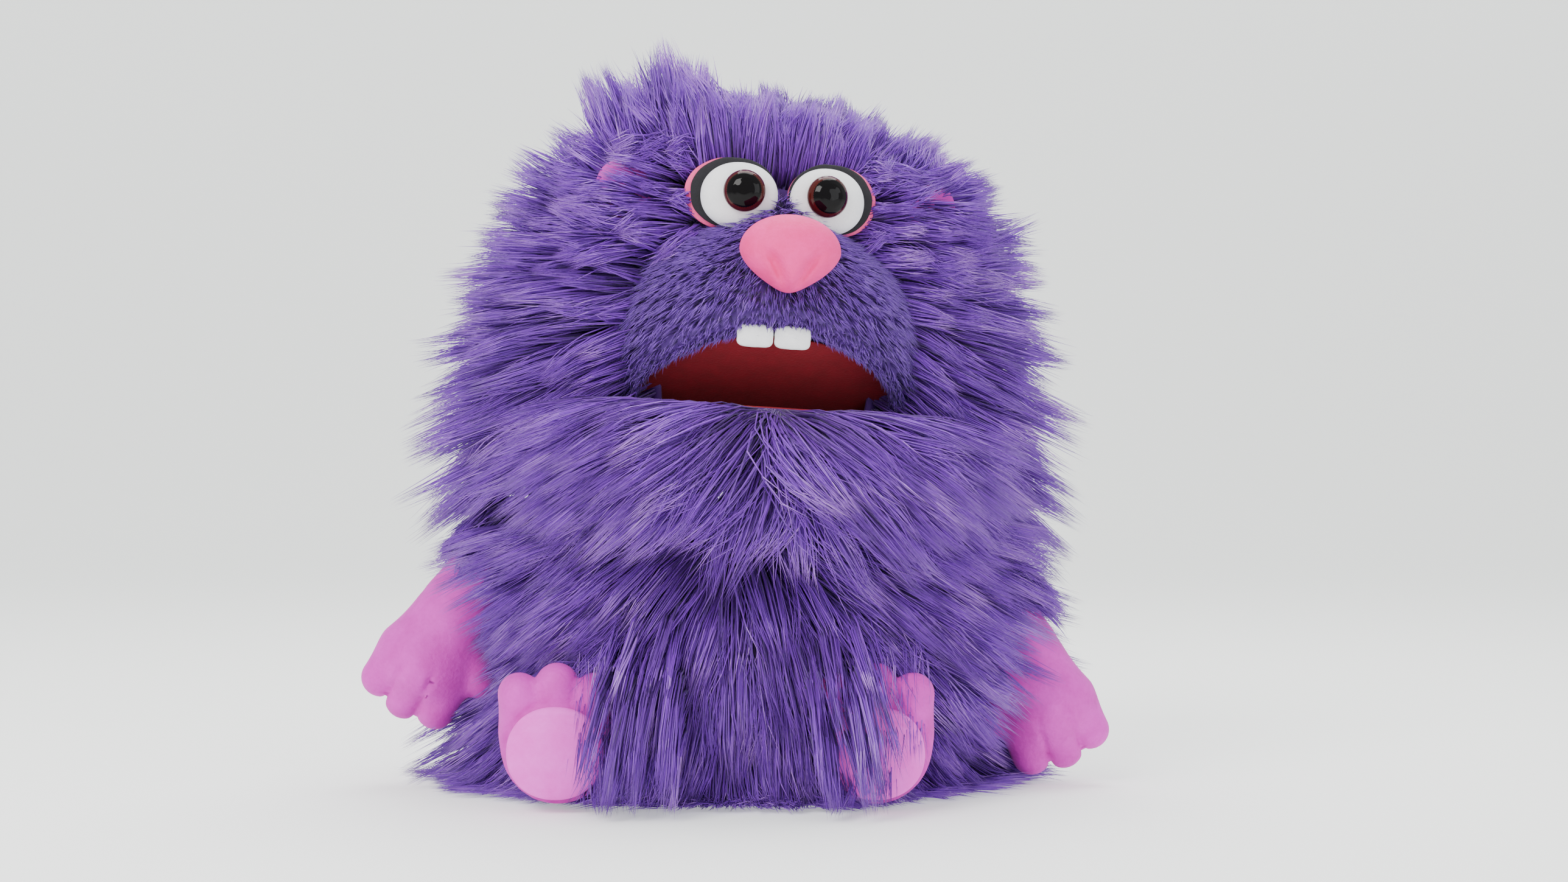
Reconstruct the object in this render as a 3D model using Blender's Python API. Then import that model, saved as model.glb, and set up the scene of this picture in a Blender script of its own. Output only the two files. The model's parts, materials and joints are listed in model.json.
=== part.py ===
"""A long-haired monster hand puppet whose mouth opens: fur skin, stuffed hands, feet and nose, felt mouth.

Metres, +Z up. The puppet sits on the plane z = 0 and faces -Y; its left in a front view is -X. The origin is on
the underside of its seat. Angles around a vertical axis start at the front (-Y) and grow towards +X.
"""

from math import radians, tan

import bmesh
import bpy
import numpy as np
from mathutils import Euler, Matrix, Vector

for old in list(bpy.data.objects):
    bpy.data.objects.remove(old, do_unlink=True)

# --- Driving dimensions ------------------------------------------------------------------------------------

GAP = 0.0006          # air between neighbouring layers
FELT = 0.0015         # thickness of felt, lining and mouth board
PILE = 0.020          # depth of the torso's long fur, lying down
HEAD_PILE = 0.025     # depth of the head's fur, standing up

NECK = Vector((0.0, 0.010, 0.135))   # centre of the puppeteer's wrist: the head turns, tilts and nods here
HEAD_YAW = radians(8.0)              # the head looks a little to +X
HEAD_ROLL = radians(3.5)             # and leans to +X
JAW_HINGE = Vector((0.0, -0.045, 0.032))   # from NECK: fold line of the mouth
PALATE_SLOPE = radians(32.0)         # the palate rises this much from the fold; the jaw lies level

SLEEVE_RADIUS = 0.0450               # hollow for the forearm
NECK_BALL = (0.0500, 0.0552)         # inner and outer radius of the neck rings, about NECK
HEAD_HOLLOW = 0.0590                 # radius of the hollow in the head's filling

SEAT_HEIGHT = 0.0135                 # top of the filling in the seat
BACK_EDGE = 148.0                    # the back opening runs from here round the back, in degrees
BACK_OPENING_TOP = 0.088

SHOULDER = {"left": Vector((-0.104, 0.0, 0.114)), "right": Vector((0.106, 0.0, 0.0972))}
ARM_LEAN = {"left": radians(31.0), "right": radians(-24.0)}   # from hanging straight down, about +Y
UPPER_ARM = 0.030
LEG_RADIUS = 0.0113
HIP = {"left": Vector((-0.075, -0.049, 0.020)), "right": Vector((0.056, -0.049, 0.020))}   # leg pivots
HIP_RANGE = (radians(-12), radians(45))     # the leg lifts and drops this far
SIDES = {"left": -1, "right": 1}

# half width and half depth of the torso's fur against height
TORSO_PROFILE = np.array([
    (0.000, 0.085, 0.082),
    (0.020, 0.092, 0.088),
    (0.060, 0.092, 0.088),
    (0.090, 0.087, 0.083),
    (0.122, 0.080, 0.076),
])
HEAD_CENTRE = 0.075                              # above NECK
HEAD_OUTSIDE = (0.106, 0.098, 0.108, 0.150)      # half width, half depth, height above and below the centre
HEAD_CORE = tuple(np.array(HEAD_OUTSIDE) - HEAD_PILE)
CROWN_EDGE = (0.1375, 0.1345)                    # the crown starts here outside and inside, above NECK
MUZZLE_RADII = (0.060, 0.058, 0.057)             # half width, reach and height about the mouth's fold line
MUZZLE_CENTRE = 0.050                            # above NECK
MUZZLE_WALL = 0.008
BROW_RADII = (0.0775, 0.0690)                    # upright pad that the eyes are sewn to
BROW_HEIGHTS = (0.1085, 0.1330)
SHANK_RADIUS = 0.0020                            # of the plastic eyes
WASHER_RADIUS = 0.0060
MUZZLE_POWER = 2.4                               # superellipse exponent: boxier than a ball

COLOURS = {
    "long_fur": ((0.16, 0.07, 0.32), 0.85),
    "short_fur": ((0.08, 0.04, 0.21), 0.85),
    "pink_plush": ((0.62, 0.17, 0.48), 0.80),
    "nose_plush": ((0.80, 0.19, 0.38), 0.75),
    "white_felt": ((0.85, 0.85, 0.85), 0.90),
    "black_felt": ((0.03, 0.025, 0.04), 0.90),
    "red_felt": ((0.16, 0.01, 0.02), 0.90),
    "eye_plastic": ((0.01, 0.005, 0.005), 0.08),
    "board": ((0.10, 0.09, 0.09), 0.70),
    "lining": ((0.09, 0.05, 0.16), 0.80),
    "filling": ((0.75, 0.74, 0.70), 0.95),
    "washer_plastic": ((0.70, 0.70, 0.68), 0.45),
}


# --- Making solids -----------------------------------------------------------------------------------------

def material(slot):
    """The Principled material of a slot, made once."""
    if slot in bpy.data.materials:
        return bpy.data.materials[slot]
    made = bpy.data.materials.new(slot)
    made.use_nodes = True
    shader = made.node_tree.nodes["Principled BSDF"]
    colour, roughness = COLOURS[slot]
    shader.inputs["Base Color"].default_value = (*colour, 1.0)
    shader.inputs["Roughness"].default_value = roughness
    shader.inputs["Metallic"].default_value = 0.0
    made.diffuse_color = (*colour, 1.0)
    return made


def frame(name, location, rotation=(0.0, 0.0, 0.0), parent=None):
    """An empty that holds the pieces of one moving body."""
    empty = bpy.data.objects.new(name, None)
    bpy.context.scene.collection.objects.link(empty)
    empty.parent = parent
    empty.location = location
    empty.rotation_euler = Euler(rotation, "XYZ")
    return empty


def place(name, mesh, slot, parent=None):
    """Link a mesh as the node called name, with its faces pointing out."""
    work = bmesh.new()
    work.from_mesh(mesh)
    bmesh.ops.remove_doubles(work, verts=work.verts, dist=1e-6)
    bmesh.ops.recalc_face_normals(work, faces=work.faces)
    work.to_mesh(mesh)
    work.free()
    mesh.shade_smooth()
    mesh.set_sharp_from_angle(angle=radians(40))
    mesh.materials.append(material(slot))
    node = bpy.data.objects.new(name, mesh)
    bpy.context.scene.collection.objects.link(node)
    node.parent = parent
    return node


def mesh_of(points, faces):
    """A mesh from an array of points and lists of corner numbers."""
    mesh = bpy.data.meshes.new("solid")
    mesh.from_pydata([tuple(p) for p in points], [], faces)
    return mesh


def wall(outer, inner, ring=False, pole=False):
    """A closed wall between two grids of points, each shaped (around, up, 3).

    A ring closes on itself; with a pole the last row of each grid is one point."""
    around, up = outer.shape[:2]

    def at(side, i, j):
        return (side * around + i % around) * up + j

    faces = []
    columns = range(around if ring else around - 1)
    for i in columns:
        for j in range(up - 1):
            faces.append((at(0, i, j), at(0, i + 1, j), at(0, i + 1, j + 1), at(0, i, j + 1)))
            faces.append((at(1, i, j + 1), at(1, i + 1, j + 1), at(1, i + 1, j), at(1, i, j)))
        faces.append((at(1, i, 0), at(1, i + 1, 0), at(0, i + 1, 0), at(0, i, 0)))
        if not pole:
            faces.append((at(0, i, up - 1), at(0, i + 1, up - 1), at(1, i + 1, up - 1), at(1, i, up - 1)))
    if not ring:
        for i, turn in ((0, 1), (around - 1, -1)):
            for j in range(up - 1):
                faces.append((at(0, i, j), at(0, i, j + 1), at(1, i, j + 1), at(1, i, j))[::turn])
    return mesh_of(np.concatenate([outer.reshape(-1, 3), inner.reshape(-1, 3)]), faces)


def loft(rings):
    """A closed solid through rings of points, shaped (rings, around, 3), with flat ends."""
    count, around = rings.shape[:2]
    faces = [tuple(range(around))[::-1], tuple((count - 1) * around + k for k in range(around))]
    for i in range(count - 1):
        for k in range(around):
            low, high = i * around, (i + 1) * around
            after = (k + 1) % around
            faces.append((low + k, low + after, high + after, high + k))
    return mesh_of(rings.reshape(-1, 3), faces)


def polar(angle, half_width, half_depth):
    """x and y at an angle from the front (-Y) towards +X, on an ellipse."""
    angle = np.radians(angle)
    return half_width * np.sin(angle), -half_depth * np.cos(angle)


def steps(first, last, pitch=15.0):
    """Angles from first to last with every multiple of pitch between them, so that layers line up."""
    inside = np.arange(np.ceil((first + 1) / pitch), np.floor((last - 1) / pitch) + 1) * pitch
    return np.concatenate([[first], inside, [last]])


# --- Torso: fur skin over a ring of filling, round the sleeve for the hand ------------------------------------

def shoulder_slope(angle):
    """How steeply the torso's top falls away from NECK: more in front, where the jaw comes down."""
    front = (np.cos(np.radians(angle)) - np.cos(np.radians(75))) / (np.cos(np.radians(45)) - np.cos(np.radians(75)))
    return np.radians(12 + 14 * np.clip(front, 0, 1))


def torso_surface(angles, inset, low, clearance=0.0, levels=6):
    """Points on the torso's profile drawn in by inset, from height low up to the cone under the head."""
    grid = np.zeros((len(angles), levels, 3))
    for i, angle in enumerate(angles):
        reach = TORSO_PROFILE[-1, 1] - inset
        high = NECK.z - reach * np.tan(shoulder_slope(angle)) - clearance
        height = np.linspace(low, high, levels)
        half_width = np.interp(height, TORSO_PROFILE[:, 0], TORSO_PROFILE[:, 1]) - inset
        half_depth = np.interp(height, TORSO_PROFILE[:, 0], TORSO_PROFILE[:, 2]) - inset
        x, y = polar(angle, half_width, half_depth)
        grid[i] = np.stack([x + NECK.x, y + NECK.y, height], axis=1)
    return grid


def cylinder_surface(angles, radius, low, high, levels=6):
    """Points on an upright cylinder about NECK's axis."""
    x, y = polar(angles[:, None], radius, radius)
    height = np.linspace(low, high, levels)[None, :]
    ones = np.ones_like(height)
    return np.stack([x * ones + NECK.x, y * ones + NECK.y, height + 0 * x], axis=2)


def oval_disc(name, half_width, half_depth, low, high, slot):
    """A flat oval slab about NECK's axis, its edge slightly rounded."""
    angles = np.arange(0, 360, 15.0)
    soft = min(0.0015, (high - low) / 3)
    rings = []
    for height, inset in ((low, soft), (low + soft, 0), (high - soft, 0), (high, soft)):
        x, y = polar(angles, half_width - inset, half_depth - inset)
        rings.append(np.stack([x + NECK.x, y + NECK.y, np.full_like(x, height)], axis=1))
    return place(name, loft(np.array(rings)), slot)


def make_torso():
    """Fur panels, filling, lining, hem and the stuffed seat."""
    skin = {}
    panels = {
        "torso_fur_front": (-39, 39, 0.0),
        "torso_fur_left": (-105, -40, 0.0),
        "torso_fur_right": (40, 105, 0.0),
        "torso_fur_back_left": (-BACK_EDGE, -106, 0.0),
        "torso_fur_back_right": (106, BACK_EDGE, 0.0),
        "torso_fur_back_upper": (BACK_EDGE + 3, 357 - BACK_EDGE, BACK_OPENING_TOP),
    }
    for name, (first, last, low) in panels.items():
        angles = steps(first, last)
        levels = 6 if low == 0 else 3
        outer = torso_surface(angles, 0.0, low, levels=levels)
        fur = wall(outer, torso_surface(angles, PILE, low, levels=levels))
        skin[name.removeprefix("torso_fur_")] = place(name, fur, "long_fur")

    fillings = {"front": (-50, 50), "left": (-BACK_EDGE + 1, -51), "right": (51, BACK_EDGE - 1)}
    for name, (first, last) in fillings.items():
        angles = steps(first, last)
        outer = torso_surface(angles, PILE + 2 * GAP, SEAT_HEIGHT + GAP, clearance=0.003)
        inner = cylinder_surface(angles, SLEEVE_RADIUS + FELT + 2 * GAP, SEAT_HEIGHT + GAP, 0.097)
        place("torso_filling_" + name, wall(outer, inner), "filling")

    angles = steps(-BACK_EDGE + 2, BACK_EDGE - 2)
    outside = cylinder_surface(angles, SLEEVE_RADIUS + FELT, SEAT_HEIGHT + GAP, 0.095, levels=2)
    inside = cylinder_surface(angles, SLEEVE_RADIUS, SEAT_HEIGHT + GAP, 0.095, levels=2)
    place("sleeve_lining", wall(outside, inside), "lining")

    oval_disc("seat_panel", 0.0635, 0.0605, 0.0, FELT, "long_fur")
    oval_disc("seat_filling", 0.0630, 0.0600, FELT + GAP, SEAT_HEIGHT, "filling")
    make_hem()
    return skin


def make_hem():
    """The binding sewn round the back opening: up one side, over the top and down the other."""
    edge, top, corner, reach = 153.0, 0.0825, 14.0, 0.066
    quarter = np.radians(np.linspace(0, 90, 4))
    half = [(edge, 0.004), (edge, 0.040)]
    half += [(edge + corner * (1 - np.cos(q)), top - 0.012 * (1 - np.sin(q))) for q in quarter]
    path = half + [(360 - angle, height) for angle, height in reversed(half)]
    centre = []
    for angle, height in path:
        x, y = polar(angle, reach, reach)
        centre.append((x + NECK.x, y + NECK.y, height))
    curve = bpy.data.curves.new("opening_hem", "CURVE")
    curve.dimensions = "3D"
    curve.bevel_depth = 0.0020
    curve.bevel_resolution = 1
    curve.use_fill_caps = True
    spline = curve.splines.new("POLY")
    spline.points.add(len(centre) - 1)
    for point, where in zip(spline.points, centre):
        point.co = (*where, 1.0)
    curve.materials.append(material("lining"))
    hem = bpy.data.objects.new("opening_hem", curve)
    bpy.context.scene.collection.objects.link(hem)


# --- Neck: two rings of the sleeve on a ball about the wrist --------------------------------------------------

def ball_ring(low, high):
    """A zone of a hollow ball about the frame's origin between two latitudes."""
    around = np.radians(np.arange(0, 360, 15.0))[:, None]
    latitude = np.radians(np.linspace(low, high, 4))[None, :]
    shape = [np.sin(around) * np.cos(latitude), -np.cos(around) * np.cos(latitude), np.sin(latitude) + 0 * around]
    unit = np.stack(shape, axis=2)
    return wall(unit * NECK_BALL[1], unit * NECK_BALL[0], ring=True)


# --- Head ---------------------------------------------------------------------------------------------------

def head_radius(height, radii):
    """Share of the full width that the head has at a height above NECK."""
    offset = height - HEAD_CENTRE
    reach = np.where(offset > 0, radii[2], radii[3])
    return np.sqrt(np.clip(1 - (offset / reach) ** 2, 0, 1))


def head_surface(angles, radii, low, high, levels):
    """Points on the head's oval body between two heights above NECK, closer together towards the top."""
    share = np.sin(np.linspace(0, np.pi / 2, levels)) if high >= HEAD_CENTRE + radii[2] else np.linspace(0, 1, levels)
    height = low + (high - low) * share
    size = head_radius(height, radii)[None, :]
    x, y = polar(angles[:, None], radii[0] * size, radii[1] * size)
    return np.stack([x, y, height[None, :] + 0 * x], axis=2)


def hollow_surface(angles, low, high, levels):
    """Inside of the head's filling: upright below, closing to a dome above."""
    height = np.linspace(low, high, levels)[None, :]
    size = HEAD_HOLLOW * np.sqrt(np.clip(1 - (np.clip(height - 0.030, 0, None) / 0.085) ** 2, 0, 1))
    x, y = polar(angles[:, None], size, size)
    return np.stack([x, y, height + 0 * x], axis=2)


def make_head_skin(head):
    """Fur panels of the head, the filling under them and the brow pad."""
    full = np.arange(0, 360, 15.0)
    crown_out = head_surface(full, HEAD_OUTSIDE, CROWN_EDGE[0], HEAD_CENTRE + HEAD_OUTSIDE[2], 6)
    crown_in = head_surface(full, HEAD_CORE, CROWN_EDGE[1], HEAD_CENTRE + HEAD_CORE[2], 6)
    place("head_fur_crown", wall(crown_out, crown_in, ring=True, pole=True), "long_fur", head)
    panels = {"left": (-125, -57), "right": (57, 125), "back": (126, 234)}
    for name, (first, last) in panels.items():
        angles = steps(first, last)
        outer = head_surface(angles, HEAD_OUTSIDE, 0.0180, CROWN_EDGE[0] - 0.001, 6)
        inner = head_surface(angles, HEAD_CORE, 0.0145, CROWN_EDGE[1] - 0.001, 6)
        place("head_fur_" + name, wall(outer, inner), "long_fur", head)
        under = tuple(np.array(HEAD_CORE) - 2 * GAP)
        filling = wall(head_surface(angles, under, 0.0160, 0.1000, 5), hollow_surface(angles, 0.0160, 0.1000, 5))
        place("head_filling_" + name, filling, "filling", head)
    under = tuple(np.array(HEAD_CORE) - 2 * GAP)
    top_out = head_surface(full, under, 0.1070, HEAD_CENTRE + under[2], 5)
    top_in = hollow_surface(full, 0.1070, 0.1150, 5)
    top = place("head_filling_top", wall(top_out, top_in, ring=True, pole=True), "filling", head)

    angles = steps(-54, 54)
    x, y = polar(angles[:, None], *BROW_RADII)
    height = np.linspace(BROW_HEIGHTS[0], BROW_HEIGHTS[1], 3)[None, :]
    front = np.stack([x + 0 * height, y + 0 * height, height + 0 * x], axis=2)
    brow = wall(front, head_surface(angles, HEAD_CORE, *BROW_HEIGHTS, 3))
    return place("brow", brow, "short_fur", head), top


def muzzle_surface(around, radii, levels):
    """Front half of a boxy dome over the palate: from the palate's plane up to the dome's top.

    In plan it is an ellipse about the fold line; its height follows |r|^p + |z|^p = 1."""
    grid = np.zeros((len(around), levels, 3))
    top = MUZZLE_CENTRE + radii[2]
    for i, angle in enumerate(around):
        x, y = polar(np.array(angle), radii[0], radii[1])
        low = JAW_HINGE.z - y * tan(PALATE_SLOPE)
        height = low + (top - low) * np.sin(np.linspace(0, np.pi / 2, levels))
        rise = np.clip((height - MUZZLE_CENTRE) / radii[2], 0, 1)
        size = np.clip(1 - rise ** MUZZLE_POWER, 0, 1) ** (1 / MUZZLE_POWER)
        grid[i] = np.stack([x * size, JAW_HINGE.y + y * size, height], axis=1)
    return grid


def make_muzzle(head):
    """Short-pile snout, its padding and the stuffed nose."""
    around = np.linspace(-90, 90, 13)
    inner = tuple(np.array(MUZZLE_RADII) - MUZZLE_WALL)
    place("muzzle", wall(muzzle_surface(around, MUZZLE_RADII, 7), muzzle_surface(around, inner, 7), pole=True),
          "short_fur", head)
    place("muzzle_filling", ellipsoid((0, -0.061, 0.0865), (0.028, 0.0100, 0.0070), 14, 8), "filling", head)
    place("nose", ellipsoid((0, -0.1095, 0.0945), (0.0205, 0.0160, 0.0152), 16, 10), "nose_plush", head)


def ellipsoid(centre, radii, around=16, up=10):
    """A closed ellipsoid."""
    work = bmesh.new()
    shape = Matrix.Translation(centre) @ Matrix.Diagonal((*radii, 1))
    bmesh.ops.create_uvsphere(work, u_segments=around, v_segments=up, radius=1, matrix=shape)
    mesh = bpy.data.meshes.new("solid")
    work.to_mesh(mesh)
    work.free()
    return mesh


def dome_disc(half_width, half_height, back, front, crown, levels=4, around=18):
    """An oval pad facing -Y from y = back to y = front, its face crowned by crown."""
    angles = np.arange(around) * 2 * np.pi / around
    rings = [(1.0, back), (1.0, front + crown)]
    rings += [(np.cos(a), front + crown * (1 - np.sin(a))) for a in np.linspace(0, np.pi / 2, levels + 1)[1:-1]]
    rings.append((0.12, front))
    points = [np.stack([half_width * s * np.cos(angles), np.full(around, y), half_height * s * np.sin(angles)], 1)
              for s, y in rings]
    return loft(np.array(points))


def cutter(name, mesh, parent):
    """A guide that other solids are cut by."""
    guide = place(name, mesh, "filling", parent)
    guide.hide_render = True
    guide.display_type = "WIRE"
    return guide


def cut(node, guide):
    """Take guide's shape out of node."""
    modifier = node.modifiers.new("cut_" + guide.name, "BOOLEAN")
    modifier.operation = "DIFFERENCE"
    modifier.solver = "EXACT"
    modifier.object = guide


def make_eyes(head, brow, filling):
    """Each eye: pink lid, black rim and white pad, held by the pupil's shank and a washer in the brow's back."""
    for side, sign in SIDES.items():
        eye = frame(side + "_eye_frame", (sign * 0.0165, -0.0675, 0.1190), (0.0, 0.0, sign * radians(9)), head)
        lid_seat = frame(side + "_lid_frame", (sign * 0.0042, 0, 0.0004), parent=eye)
        rim_seat = frame(side + "_rim_frame", (sign * 0.0026, 0, 0.0004), parent=eye)
        lid = place(side + "_eye_lid", dome_disc(0.0196, 0.0142, -0.0020, -0.0050, 0.0015, 2), "pink_plush", lid_seat)
        rim = place(side + "_eye_rim", dome_disc(0.0184, 0.0138, -0.0056, -0.0085, 0.0015, 2), "black_felt", rim_seat)
        white = place(side + "_eye_white", dome_disc(0.0158, 0.0132, -0.0091, -0.0170, 0.0060, 3), "white_felt", eye)
        at = Vector((-sign * 0.0020, 0.0, 0.0010))
        hole = cutter(side + "_shank_hole", rod(at, 0.0105, -0.0300, SHANK_RADIUS + 0.0005), eye)
        for pad in (lid, rim, white, brow):
            cut(pad, hole)
        seat = cutter(side + "_washer_seat", rod(at, 0.0120, 0.0060, WASHER_RADIUS + 0.0010), eye)
        for pad in (brow, filling):
            cut(pad, seat)
        profile = ((SHANK_RADIUS, 0.0095), (SHANK_RADIUS, -0.0176), (0.0090, -0.0178), (0.0095, -0.0190),
                   (0.0085, -0.0212), (0.0060, -0.0228), (0.0025, -0.0236))
        place(side + "_pupil", turned(at, profile), "eye_plastic", eye)
        washer = wall_ring(at, (SHANK_RADIUS + 0.0003, WASHER_RADIUS), (0.0066, 0.0080))
        place(side + "_eye_washer", washer, "washer_plastic", eye)


def rod(centre, back, front, radius, around=12):
    """A round bar along Y."""
    return turned(centre, ((radius, back), (radius, front)), around)


def turned(centre, profile, around=16):
    """A solid turned about an axis along Y from (radius, y) points, back to front."""
    angles = np.arange(around) * 2 * np.pi / around
    rings = [np.stack([centre.x + r * np.cos(angles), np.full(around, y), centre.z + r * np.sin(angles)], 1)
             for r, y in profile]
    return loft(np.array(rings))


def wall_ring(centre, radii, depths, around=16):
    """A flat ring about an axis along Y."""
    angles = (np.arange(around) * 2 * np.pi / around)[:, None]
    depth = np.array(depths)[None, :]

    def cylinder(radius):
        x, z = centre.x + radius * np.cos(angles), centre.z + radius * np.sin(angles)
        return np.stack([x + 0 * depth, depth + 0 * x, z + 0 * depth], axis=2)

    return wall(cylinder(radii[1]), cylinder(radii[0]), ring=True)


def make_ears(head):
    """Small flat plush ears beside the brow."""
    for side, sign in SIDES.items():
        ear = frame(side + "_ear_frame", (sign * 0.0655, -0.0575, 0.1190), (0.0, sign * radians(15), 0.0), head)
        place(side + "_ear", ellipsoid((0, 0, 0), (0.0120, 0.0045, 0.0138), 12, 8), "pink_plush", ear)


def half_oval(half_width, reach, start):
    """Outline of a mouth board: a half oval in front of the fold line, from start forwards (as +)."""
    first = np.arcsin(start / reach)
    angles = np.linspace(first, np.pi - first, 15)
    return [(half_width * np.cos(a), reach * np.sin(a)) for a in angles]


def board(outline, low, high, slope):
    """A flat plate from low to high over the fold line, its front raised by slope."""
    lift = Matrix.Rotation(-slope, 4, "X")
    rings = [[lift @ Vector((x, -forward, height)) for x, forward in outline] for height in (low, high)]
    return loft(np.array([[tuple(p) for p in ring] for ring in rings]))


def pocket(half_width, reach, start, low, high, skin, slope):
    """A flat pouch in front of the fold line, open at the back."""
    def block(w, near, far, bottom, top):
        corners = [(x, -y, z) for y in (near, far) for x, z in ((-w, bottom), (w, bottom), (w, top), (-w, top))]
        return corners
    outer = block(half_width, start, reach, low, high)
    inner = block(half_width - skin, start, reach - skin, low + skin, high - skin)
    points = [tuple(Matrix.Rotation(-slope, 4, "X") @ Vector(p)) for p in outer + inner]
    faces = [(4, 5, 6, 7), (12, 13, 14, 15)]
    for k in range(4):
        after = (k + 1) % 4
        faces.append((k, after, 4 + after, 4 + k))
        faces.append((8 + k, 8 + after, 12 + after, 12 + k))
        faces.append((k, after, 8 + after, 8 + k))
    return mesh_of(points, faces)


def make_mouth(head, jaw):
    """Boards, felt linings, finger and thumb pockets, the fold, the teeth and the chin."""
    fold = frame("mouth_fold_frame", JAW_HINGE, parent=head)
    outline = half_oval(0.0500, 0.0505, 0.0025)
    place("palate_board", board(outline, 0.0003, 0.0003 + FELT, PALATE_SLOPE), "board", fold)
    felt_outline = half_oval(0.0500, 0.0505, 0.0090)
    place("palate_lining", board(felt_outline, -FELT, -0.0003, PALATE_SLOPE), "red_felt", fold)
    place("finger_pocket", pocket(0.0300, 0.0410, 0.0045, 0.0025, 0.0205, 0.0012, PALATE_SLOPE), "lining", fold)
    ends = [[(x, 0.0011 * np.cos(a), 0.0011 * np.sin(a)) for a in np.arange(8) * np.pi / 4] for x in (-0.049, 0.049)]
    place("mouth_fold", loft(np.array(ends)), "red_felt", fold)
    for side, sign in SIDES.items():
        shape = [(0.0004, 0.0313), (0.0160, 0.0307), (0.0158, 0.0245), (0.0140, 0.0222), (0.0100, 0.0212),
                 (0.0030, 0.0215), (0.0006, 0.0235)]
        rings = [[(sign * x, y, z) for x, z in shape] for y in (-0.0512, -0.0535)]
        place(side + "_tooth", loft(np.array(rings)), "white_felt", fold)

    place("jaw_board", board(outline, -0.0003 - 2 * FELT - 0.0003, -0.0006 - FELT, 0.0), "board", jaw)
    place("jaw_lining", board(felt_outline, -0.0002 - FELT, -0.0002, 0.0), "red_felt", jaw)
    chin_low, chin_high, rear = -0.0290, -0.0040, 0.0185
    chin_outline = half_oval(0.0580, 0.0560, rear)
    soft = [(0.86, chin_low), (0.96, chin_low + 0.006), (1.0, chin_low + 0.014), (1.0, chin_high)]
    rings = [[(x * s, -rear - (forward - rear) * s, height) for x, forward in chin_outline] for s, height in soft]
    chin = place("chin_fur", loft(np.array(rings)), "long_fur", jaw)
    hollow = pocket_block(0.0172, 0.0005, 0.0430, -0.0228, 0.0100)
    cut(chin, cutter("chin_hollow", hollow, jaw))
    place("thumb_pocket", pocket(0.0165, 0.0420, rear + 0.0005, -0.0220, chin_high - 0.0008, 0.0012, 0.0),
          "lining", jaw)


def pocket_block(half_width, near, far, low, high):
    """A plain block in front of the fold line."""
    rings = [[(x, -y, z) for x, y in ((-half_width, near), (half_width, near), (half_width, far), (-half_width, far))]
             for z in (low, high)]
    return loft(np.array(rings))


# --- Arms and legs -------------------------------------------------------------------------------------------

def capsule(start, end, radius, flat=1.0, end_radius=None, around=12, caps=3):
    """A stuffed finger or limb between two points, with round ends; flat squeezes it along Y."""
    start, end = Vector(start), Vector(end)
    end_radius = radius if end_radius is None else end_radius
    axis = (end - start).normalized()
    side = axis.orthogonal().normalized() if abs(axis.y) > 0.9 else Vector((0, 1, 0)).cross(axis).normalized()
    other = axis.cross(side)
    stations = [(start, -np.cos(a) * radius, np.sin(a) * radius) for a in np.linspace(0.25, np.pi / 2, caps)]
    stations += [(end, np.cos(a) * end_radius, np.sin(a) * end_radius) for a in np.linspace(np.pi / 2, 0.25, caps)]
    turn = np.arange(around) * 2 * np.pi / around
    rings = []
    for centre, along, size in stations:
        ring = [centre + axis * along + side * size * np.cos(t) + other * size * flat * np.sin(t) for t in turn]
        rings.append([tuple(p) for p in ring])
    return loft(np.array(rings))


def stuffed(name, pieces, slot, parent, voxel=0.0054):
    """Pieces sewn into one stuffed skin."""
    joined = bmesh.new()
    for piece in pieces:
        joined.from_mesh(piece)
        bpy.data.meshes.remove(piece)
    bmesh.ops.recalc_face_normals(joined, faces=joined.faces)
    mesh = bpy.data.meshes.new(name)
    joined.to_mesh(mesh)
    joined.free()
    node = place(name, mesh, slot, parent)
    remesh = node.modifiers.new("one_skin", "REMESH")
    remesh.mode = "VOXEL"
    remesh.voxel_size = voxel
    remesh.use_smooth_shade = True
    return node


def make_arms():
    """Furry upper arms from the shoulders and plush hands with three fingers and a thumb."""
    for side, sign in SIDES.items():
        shoulder = frame(side + "_shoulder", SHOULDER[side], (0.0, ARM_LEAN[side], 0.0))
        place(side + "_upper_arm", capsule((0, 0, 0), (0, 0, -UPPER_ARM + 0.0135), 0.0115, caps=4), "long_fur", shoulder)
        elbow = frame(side + "_elbow", (0, 0, -UPPER_ARM), parent=shoulder)
        pieces = [capsule((0, 0, -0.0130), (0, 0, -0.0360), 0.0128, 0.85, 0.0200)]
        for finger, lean in ((-1, -0.0035), (0, 0.0), (1, 0.0035)):
            root = finger * 0.0145
            pieces.append(capsule((root, 0, -0.0380), (root + lean, 0, -0.0612 + 0.002 * abs(finger)), 0.0080, 0.95))
        pieces.append(capsule((-sign * 0.0120, 0, -0.0270), (-sign * 0.0245, -0.001, -0.0360), 0.0068))
        stuffed(side + "_hand", pieces, "pink_plush", elbow)


def leg_clearance(hip):
    """Room in the torso's fur for a leg as it swings: the hull of the leg at both ends of its swing."""
    radius, reach, turns = LEG_RADIUS + 0.0014, 0.050, np.arange(0, 2 * np.pi, np.pi / 8)
    centres = [(0.0, 0.0)] + [(-reach * np.cos(a), -reach * np.sin(a)) for a in HIP_RANGE]
    work = bmesh.new()
    for y, z in centres:
        for turn in turns:
            for x in (-radius, radius):
                work.verts.new((x, y + radius * np.cos(turn), z + radius * np.sin(turn)))
    hull = bmesh.ops.convex_hull(work, input=work.verts)
    bmesh.ops.delete(work, geom=[g for g in hull["geom_interior"] if isinstance(g, bmesh.types.BMVert)],
                     context="VERTS")
    mesh = bpy.data.meshes.new("solid")
    work.to_mesh(mesh)
    work.free()
    return cutter(hip.name + "_clearance", mesh, hip)


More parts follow.
